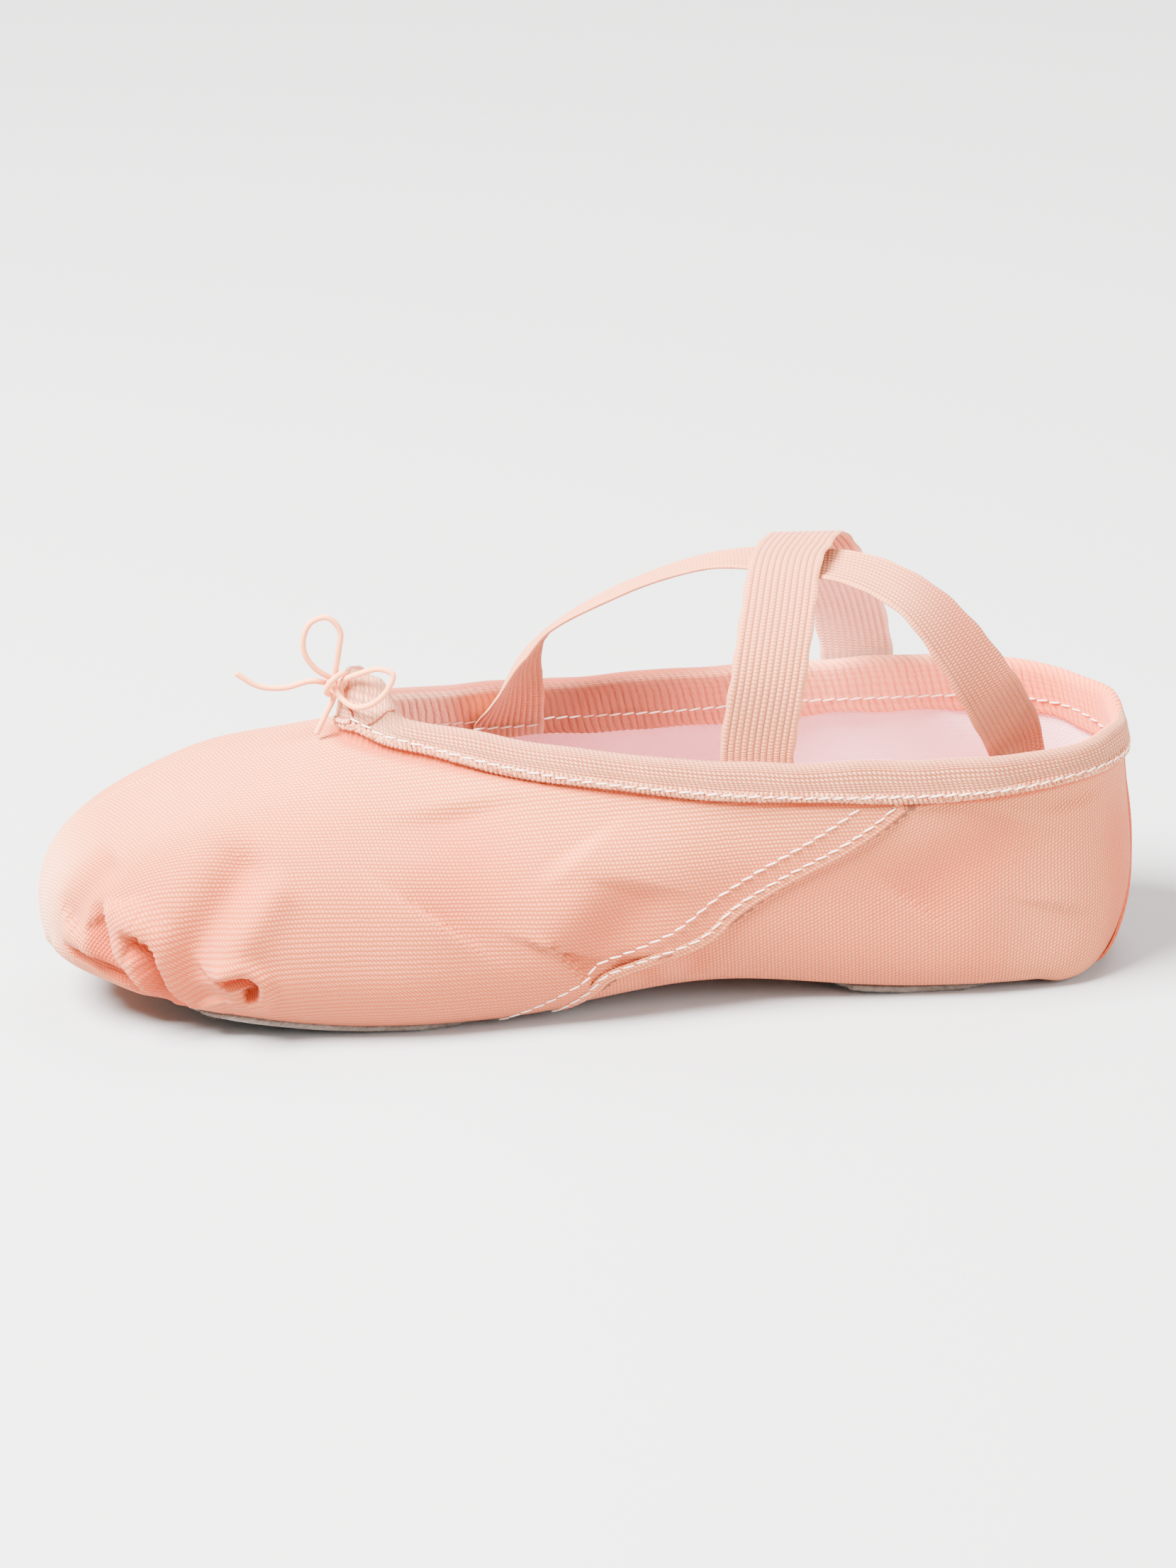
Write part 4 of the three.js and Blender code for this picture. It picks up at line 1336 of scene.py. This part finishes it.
def row_stitches(points, faces, side=1.0):
    """Middles, runs and faces of stitches along a row of points."""
    count = max(2, int(arc(points)[-1] / PITCH))
    both = even(np.column_stack([points, faces]), count * STITCH_PARTS + 1)
    half = STITCH_PARTS // 2
    middles = both[half::STITCH_PARTS, :3]
    runs = unit(both[STITCH_PARTS::STITCH_PARTS, :3] - both[0:-STITCH_PARTS:STITCH_PARTS, :3])
    out = unit(both[half::STITCH_PARTS, 3:])
    cross = np.cross(out, runs) * side
    return middles, unit(runs + STITCH_LEAN * cross), out


def collar_row(up, out, start, end, count):
    """Stitches along the collar at the heights that up gives."""
    turn = np.linspace(start, end, count)
    return row_stitches(band(turn, up(turn), out + 0 * turn), band_out(turn) * np.sign(out))


def outer_row(turn):
    return np.interp(np.minimum(turn, 1 - turn), *OUTER_ROW)


def inner_row(turn):
    return INNER_UP - INNER_DOWN * smooth(*DOWN_SPAN, turn)


def build_stitches():
    rows = [
        collar_row(outer_row, OUTER_OUT, OUTER_START, 1 - OUTER_START, ROW_STEPS),
        collar_row(inner_row, INNER_OUT, 0.0, 1.0, ROW_STEPS),
        collar_row(inner_row, ELASTIC_OUT, *ELASTIC_SPAN, ELASTIC_STEPS),
    ]
    for side in (NEAR, FAR):
        for row, lift in LAP_ROWS:
            _, level, mid, face = lap_line(row, side)
            keep = (level > LAP_STITCHED[0]) & (level < LAP_STITCHED[1])
            rows.append(row_stitches((mid + face * lift)[keep], face[keep], side))
    middles, runs, faces = (np.concatenate(part) for part in zip(*rows))
    return pills("stitches", middles, runs, faces, *STITCH)


dress(build_stitches(), THREAD, "drawstring")

# Seam up the back of the heel: a split welt that leans to the near side low down

SEAM_GRID = (80, 14)
SEAM_LEVELS = (1.06, 2.98)
SEAM_HALF = 1.5
SEAM_TURN = 0.016
SEAM_LOW = 0.03
SEAM_BACK = 0.01
TURN_SPAN = (2.5, 1.8)
LOW_SPAN = (1.85, 1.1)
BACK_SPAN = (2.25, 2.6)
SEAM_TALL = 0.95
SEAM_SUNK = 0.35
SEAM_SPLIT = (0.35, 0.22)
SEAM_START = 0.06
SEAM_SWAY = 0.25
SEAM_WAVES = 20
SEAM_RIPPLE = (31, 3)
SEAM_CLOTH = (34, 4)
SEAM_TONE = (0.42, 0.55)
SEAM_DARK = (0.3, 0.1)


def seam_shape(u, v):
    level = SEAM_LEVELS[0] + (SEAM_LEVELS[1] - SEAM_LEVELS[0]) * u
    turn = 0.5 - SEAM_TURN * smooth(*TURN_SPAN, level) - SEAM_LOW * smooth(*LOW_SPAN, level)
    turn = turn + SEAM_BACK * smooth(*BACK_SPAN, level)
    cross = 2 * v - 1
    lift = SEAM_TALL * np.sqrt(np.clip(1 - cross**2, 0, 1)) * smooth(0, SEAM_START, u) - SEAM_SUNK
    lift = lift - SEAM_SPLIT[0] * np.exp(-((cross / SEAM_SPLIT[1]) ** 2))
    p = skin(turn, level) + normal(turn, level) * lift[:, None]
    p[:, 1] += SEAM_HALF * cross + SEAM_SWAY * ripple(SEAM_WAVES * u, *SEAM_RIPPLE)
    return p


def seam_cloth(u, v):
    return np.stack([SEAM_CLOTH[0] * u, SEAM_CLOTH[1] * v], -1)


# Tone of the welt: its deeper canvas colour, deepest along its near edge
def seam_tone(u, v):
    return SEAM_TONE[0] + SEAM_TONE[1] * smooth(*SEAM_DARK, v)


heel_seam = grid("heel_welt", *SEAM_GRID, seam_shape, seam_cloth, seam_tone)
dress(heel_seam, CANVAS, "canvas", "heel_seam")

# Suede patches: middle, half length, half width and power of each rounded outline

SUEDE_THICK = 1.4
SUEDE_GAP = 0.3
FRONT_PATCH = (-54, 42, 32.0, 2.5)
HEEL_PATCH = (70, 25.5, 24.2, 2.6)
PATCH_GRID = (220, 40)
PATCH_CLOTH = (100, 40)
PATCH_ROWS = (0, 0.44, 0.47, 0.5, 0.53, 0.56, 1)
PATCH_SHARES = (0, 0.985, 0.996, 1, 0.996, 0.985, 0)
PATCH_DROPS = (1, 1, 0.85, 0.5, 0.15, 0, 0)
RAGGED = 0.006
RAGGED_WAVES = 30
RAGGED_RIPPLE = (41, 5)
UNEVEN = 0.02
UNEVEN_WAVES = 6
UNEVEN_RIPPLE = (43, 3)
RAGGED_FROM = 0.8
JUST_OVER = 1.001


def drape(x, y, depth):
    """A place on a sheet laid under the sole and up its sides, depth mm from the canvas."""
    half = np.linspace(0, 0.5, FINE)
    turn = np.interp(x, sole(half)[:, 0], half)
    edge = -sole(turn)[:, 1]
    beyond = np.maximum(0, np.abs(y) - edge)
    chord = np.linalg.norm(widest(turn) - sole(turn), axis=-1)
    level = 1 + beyond / (TUCK[0] * chord)
    turn = np.where(y < 0, turn, 1 - turn)
    flat = np.stack([x, y, bottom(x) - depth], -1)
    side = skin(turn, level) + normal(turn, np.maximum(JUST_OVER, level)) * depth[:, None]
    return np.where((beyond > 0)[:, None], side, flat)


def rounded(part, power):
    """One coordinate of a rounded oblong, from the cosine or sine round it."""
    return np.sign(part) * np.abs(part) ** (2 / power)


def patch_shape(patch):
    middle, half, wide, power = patch

    def shape(u, v):
        angle = 2 * np.pi * u
        share = np.interp(v, PATCH_ROWS, PATCH_SHARES)
        drop = np.interp(v, PATCH_ROWS, PATCH_DROPS)
        ragged = RAGGED * ripple(angle * RAGGED_WAVES, *RAGGED_RIPPLE)
        ragged = ragged + UNEVEN * ripple(angle * UNEVEN_WAVES, *UNEVEN_RIPPLE)
        ragged = 1 + ragged * smooth(RAGGED_FROM, 1, share)
        x = middle + half * share * ragged * rounded(np.cos(angle), power)
        y = wide * share * ragged * rounded(np.sin(angle), power)
        return drape(x, y, SUEDE_GAP + SUEDE_THICK * drop)

    return shape


def patch_cloth(u, v):
    return np.stack([PATCH_CLOTH[0] * u, PATCH_CLOTH[1] * v], -1)


def build_patch(name, patch, node):
    piece = grid(name, *PATCH_GRID, patch_shape(patch), patch_cloth, closed=True)
    dress(piece, SUEDE, "suede", node)


# Short fibres along the cut edges of the patches; each patch has their number and a seed

FUZZ_ROWS = (0.45, 0.55)
FUZZ_LONG = (0.4, 1.3)
FUZZ_WIDE = 0.05
FUZZ_OUT = 0.35
FUZZ_STRAY = 0.7
FUZZ_FLAT = np.array([1, 1, 0.6])
FUZZ_LOW = 0.15
FUZZ_FLOOR = 0.05
FUZZ_LAID = 0.8
FUZZ_LIE = 0.2
FRONT_FUZZ = (5000, 51)
HEEL_FUZZ = (3600, 52)


def build_fuzz(name, patch, count, seed):
    made = np.random.default_rng(seed)
    u = made.uniform(0, 1, count)
    v = made.uniform(*FUZZ_ROWS, count)
    root = patch_shape(patch)(u, v)
    away = unit((root - np.array([patch[0], 0, 0])) * np.array([1, 1, 0]))
    run = unit(away + made.normal(0, FUZZ_STRAY, (count, 3)) * FUZZ_FLAT)
    long = made.uniform(*FUZZ_LONG, count)
    middle = root + run * (long * FUZZ_OUT)[:, None]
    middle[:, 2] = np.maximum(FUZZ_LOW, middle[:, 2])
    run[:, 2] = np.where(middle[:, 2] < FUZZ_LAID, np.abs(run[:, 2]) * FUZZ_LIE, run[:, 2])
    face = unit(np.cross(run, made.normal(0, 1, (count, 3))))
    dress(fibres(name, middle, unit(run), face, long), SUEDE, "suede")


def fibres(name, middle, run, face, long):
    """Thin three-cornered fibres in one mesh."""
    cross = np.cross(face, run) * FUZZ_WIDE
    tail = middle - run * (long / 2)[:, None]
    head = middle + run * (long / 2)[:, None]
    points = np.stack([tail - cross, tail + cross, head], 1).reshape(-1, 3)
    points[:, 2] = np.maximum(FUZZ_FLOOR, points[:, 2])
    return loose_mesh(name, points, np.arange(len(points)).reshape(-1, 3).tolist())


build_patch("suede_front", FRONT_PATCH, "outsole_front")
build_patch("suede_heel", HEEL_PATCH, "outsole_heel")
build_fuzz("fuzz_front", FRONT_PATCH, *FRONT_FUZZ)
build_fuzz("fuzz_heel", HEEL_PATCH, *HEEL_FUZZ)

# Insole

SOCK = 1.2
SOCK_SHARE = 0.92
SOCK_GRID = (160, 36)
SOCK_ROWS = (0, 0.46, 0.5, 0.54, 1)
SOCK_SHARES = (0, 0.99, 1, 0.99, 0)
SOCK_DROPS = (0, 0, 0.5, 1, 1)


def insole_shape(u, v):
    p = skin(u, SOCK_SHARE * np.interp(v, SOCK_ROWS, SOCK_SHARES))
    drop = np.interp(v, SOCK_ROWS, SOCK_DROPS)
    p[:, 2] = bottom(p[:, 0]) + WALL + SUEDE_GAP + SOCK * (1 - drop)
    return p


insole = grid("sock", *SOCK_GRID, insole_shape, lining_cloth, closed=True)
dress(insole, LINING, "lining", "insole")

# Elastics: where each end meets the rim as (x, side, distance out), and rows of place and face of the arch

STRAP_GRID = (150, 100)
STRAP_THICK = 1.0
STRAP_SEWN = 4.0
WITHIN = -3.3
WITHOUT = 2.0
OVER_ENDS = ((37.2, NEAR, WITHIN), (62.2, FAR, WITHOUT))
UNDER_ENDS = ((-16.5, FAR, WITHIN - 1.0), (95.7, NEAR, WITHIN - 1.0))
LOOSE = 0.5
BULGE = 1.8
BULGE_SPAN = (22.0, 9.0)
FRILL = 0.15
FRILL_PITCH = 1.3
FRILL_FROM = 0.93
OVER_ARCH = (
    (40.6, -25.5, 75, 0, -1, 0.3), (43.4, -18.5, 87.2, -0.1, -0.8, 0.6), (46, -8.5, 96, -0.1, -0.25, 1),
    (48.5, 0, 96.7, 0, 0, 1), (51.5, 9, 95.6, 0, 0.3, 1), (55.5, 19, 86.5, 0, 0.8, 0.6),
    (59.8, 28.5, 73.5, 0, 1, 0.35),
)
UNDER_ARCH = (
    (-12.6, 7.9, 64.8, -0.75, 0.5, 0.4), (-8.9, 6.8, 72.9, -0.73, 0.24, 0.51),
    (-4.2, 7.2, 77.9, -0.62, 0.26, 0.72), (8.2, 6.7, 84.6, -0.5, 0.22, 0.86),
    (20.7, 5.6, 89.6, -0.35, 0.21, 0.95), (33.1, 3, 92.9, -0.15, 0.16, 1), (47.8, -2, 93.6, 0, 0, 1),
    (62.5, -8.5, 92.7, 0.3, -0.2, 0.95), (74, -15, 87.6, 0.65, -0.45, 0.65),
    (82, -19.4, 78.5, 0.7, -0.7, 0.4), (88.2, -21.8, 68.5, 0.66, -0.74, 0.12),
    (91.8, -21.2, 61, 0.68, -0.73, 0), (94.3, -20.2, 54.5, 0.72, -0.69, 0),
)


def rim_turn(x, side):
    """The turn at which the rim of one side passes x."""
    turn = np.linspace(0, 0.5, FINE)
    found = np.interp(x, rim(turn)[:, 0], turn)
    return found if side == NEAR else 1 - found


def sewn_rows(end, loose=None):
    """Rows of an elastic where it is sewn to the collar, up to its rim or to where it turns loose."""
    x, side, out = end
    turn = np.array([rim_turn(x, side)])
    top = band_height(turn)[0]
    face = band_out(turn)[0]
    free = (top / 2, top + 1) if loose is None else (loose,)
    return [np.concatenate([band(turn, np.array([up]), out)[0], face]) for up in (-STRAP_SEWN, *free)]


# Round a section of an elastic: over its top face, round an edge, back along its under face

EDGE_ROUND = 0.28
EDGE_SPREAD = (0.0, 0.46, 0.5, 0.96, 1.0)
EDGE_TURNS = (0.0, 1.0, 1.0, 0.0, 0.0)
EDGE_ANGLES = (0.0, 0.0, np.pi, np.pi, 2 * np.pi)


def build_strap(name, ends, arch, node, loose=None):
    rows = np.array([*sewn_rows(ends[0], loose), *arch, *sewn_rows(ends[1], loose)[::-1]], float)
    steps, around = STRAP_GRID
    line = spline(rows[:, :3], steps + 1)
    share = np.linspace(0, len(rows) - 1, steps + 1)
    face = np.stack([np.interp(share, np.arange(len(rows)), rows[:, 3 + i]) for i in range(3)], -1)
    run = unit(np.gradient(line, axis=0))
    face = unit(face - run * np.sum(face * run, -1, keepdims=True))
    wide = np.cross(face, run)
    length = arc(line)

    def shape(u, v):
        k = np.round(u * steps).astype(int)
        turn = np.interp(v, EDGE_SPREAD, EDGE_TURNS)
        angle = np.interp(v, EDGE_SPREAD, EDGE_ANGLES)
        cross = 2 * turn - 1
        reach = cross * (STRAP_WIDE / 2 - EDGE_ROUND) + EDGE_ROUND * np.sin(angle)
        rib = np.abs(np.sin(np.pi * RIBS * turn))
        tall = np.cos(angle) * (EDGE_ROUND + (STRAP_THICK / 2 - EDGE_ROUND) * rib)
        wave = FRILL * np.sin(length[k] / FRILL_PITCH) * smooth(FRILL_FROM, 1.0, np.abs(cross))
        if loose is not None:
            middle, half = BULGE_SPAN
            tall = tall + BULGE * np.exp(-(((length[k] - middle) / half) ** 2)) * (1 - cross**2)
        return line[k] + wide[k] * (reach + wave * np.sign(reach))[:, None] + face[k] * tall[:, None]

    def cloth(u, v):
        return np.stack([u * length[-1], np.interp(v, EDGE_SPREAD, EDGE_TURNS) * STRAP_WIDE], -1)

    # Tone: 1 on the under face, where the far strap has painted light
    def underside(u, v):
        return smooth(*EDGE_SPREAD[1:3], v) * smooth(1.0, EDGE_SPREAD[3], v)

    dress(grid(name, steps, around, shape, cloth, underside, closed=True), ELASTIC, "elastic", node)


build_strap("elastic_over", OVER_ENDS, OVER_ARCH, "strap_over")
build_strap("elastic_under", UNDER_ENDS, UNDER_ARCH, "strap_under", LOOSE)

# Drawstring: two strands come out of the front of the binding, cross in a knot and make a loop and an end

CORD_RADIUS = 0.65
CORD_STEPS = 400
TALL_STEPS = 200
SIDE_STEPS = 180
WRAP_STEPS = 60
STRAND_TALL = (
    (-51.6, -1.0, 66.8), (-52.2, -1.4, 68.8), (-52.6, -2.2, 71.0), (-52.4, -2.4, 73.1), (-51.3, -3, 78.7),
    (-50.8, -3, 83.0), (-53.3, -3, 86.2), (-57, -3, 85.2), (-58.9, -3, 81.2), (-58.6, -3, 77.7),
    (-56.6, -2.6, 74.4), (-54.2, -1.8, 72.2), (-52.6, -0.6, 70.8), (-53.2, 0.2, 69.8), (-54.8, -0.8, 70.4),
    (-56.6, -1.6, 71.1), (-58.5, -2, 71.3), (-63.8, -2, 70.1), (-69.2, -2, 70.8), (-74.2, -2, 74.2),
)
STRAND_SIDE = (
    (-51.0, -2.6, 67.0), (-51.4, -3.0, 69.0), (-51.5, -3.3, 70.6), (-50.6, -3.7, 71.8), (-47, -5.5, 73.8),
    (-42.5, -8, 75.6), (-39.8, -9, 74.5), (-41.2, -9.6, 71.2), (-44.5, -9.4, 68.2), (-48.4, -7.6, 66.9),
    (-51.2, -5.4, 68.1), (-52.6, -4.2, 70.2), (-53.4, -3.2, 71.4), (-54.0, -2.4, 70.4), (-52.9, -2.8, 68.4),
    (-54.9, -3.4, 64.2), (-57.4, -4.0, 59.6),
)
KNOT_WRAP = (
    (-49.9, -1.2, 72.2), (-50.8, -3.4, 73.2), (-52.4, -4.8, 72.9), (-53.9, -5.2, 71.5), (-54.5, -4.7, 69.8),
    (-53.9, -3.4, 68.6), (-52.6, -1.8, 68.2),
)


def build_cord(name, points, count, *nodes):
    path = even(spline(points, CORD_STEPS), count)
    return dress(tube(name, path, CORD_RADIUS), CORD, "drawstring", *nodes), path * MM


tall, tall_path = build_cord("drawstring_tall", STRAND_TALL, TALL_STEPS, "bow_loop_tall", "bow_end_long")
low, low_path = build_cord("drawstring_side", STRAND_SIDE, SIDE_STEPS, "bow_loop_side", "bow_end_short")
wrap, _ = build_cord("drawstring_knot", KNOT_WRAP, WRAP_STEPS, "bow_knot")

# Stage, light and camera: places in metres, powers in watts

FLOOR_SIZE = 6.0
FLOOR = tint(166, 165, 164)
FLOOR_ROUGH = 0.9
SKY = (1.0, 0.99, 0.98, 1.0)
SKY_STRENGTH = 0.7
LIGHTS = (
    ("key", (-0.75, -0.3, 1.35), (-0.03, 0, 0.04), 0.9, 310),
    ("fill", (1.2, -0.7, 0.6), (0.06, 0, 0.04), 1.0, 38),
    ("back", (0.4, 0.8, 1.4), (0, 0, 0.04), 1.0, 40),
)
AIM = Vector((1.1, 0, 43.2)) * MM
DISTANCE = 1.5
ELEVATION = math.radians(22)
ROLL = math.radians(2.9)
LENS = 157.4
SENSOR = 36
CLIP = 0.05


def build_floor():
    bpy.ops.object.select_all(action="DESELECT")
    bpy.ops.mesh.primitive_plane_add(size=FLOOR_SIZE, location=(0, 0, 0))
    floor = bpy.context.object
    floor.name = "floor"
    made = bpy.data.materials.new("floor")
    made.use_nodes = True
    shader = made.node_tree.nodes["Principled BSDF"]
    shader.inputs["Base Color"].default_value = FLOOR
    shader.inputs["Roughness"].default_value = FLOOR_ROUGH
    floor.data.materials.append(made)


def build_light(name, at, aim, size, power):
    data = bpy.data.lights.new(name, "AREA")
    data.shape = "DISK"
    data.size = size
    data.energy = power
    lamp = bpy.data.objects.new(name, data)
    lamp.location = at
    lamp.rotation_euler = (Vector(aim) - Vector(at)).to_track_quat("-Z", "Y").to_euler()
    bpy.context.scene.collection.objects.link(lamp)


def build_world():
    world = bpy.data.worlds.new("studio")
    world.use_nodes = True
    back = world.node_tree.nodes["Background"]
    back.inputs["Color"].default_value = SKY
    back.inputs["Strength"].default_value = SKY_STRENGTH
    bpy.context.scene.world = world


def build_camera():
    data = bpy.data.cameras.new("camera")
    data.lens = LENS
    data.sensor_width = SENSOR
    data.clip_start = CLIP
    data.dof.use_dof = False
    camera = bpy.data.objects.new("camera", data)
    bpy.context.scene.collection.objects.link(camera)
    back = Vector((0, -math.cos(ELEVATION), math.sin(ELEVATION)))
    turn = (-back).to_track_quat("-Z", "Y").to_matrix().to_4x4()
    camera.matrix_world = Matrix.Translation(AIM + back * DISTANCE) @ turn @ Matrix.Rotation(-ROLL, 4, "Z")
    bpy.context.scene.camera = camera


build_floor()
build_world()
for row in LIGHTS:
    build_light(*row)
build_camera()
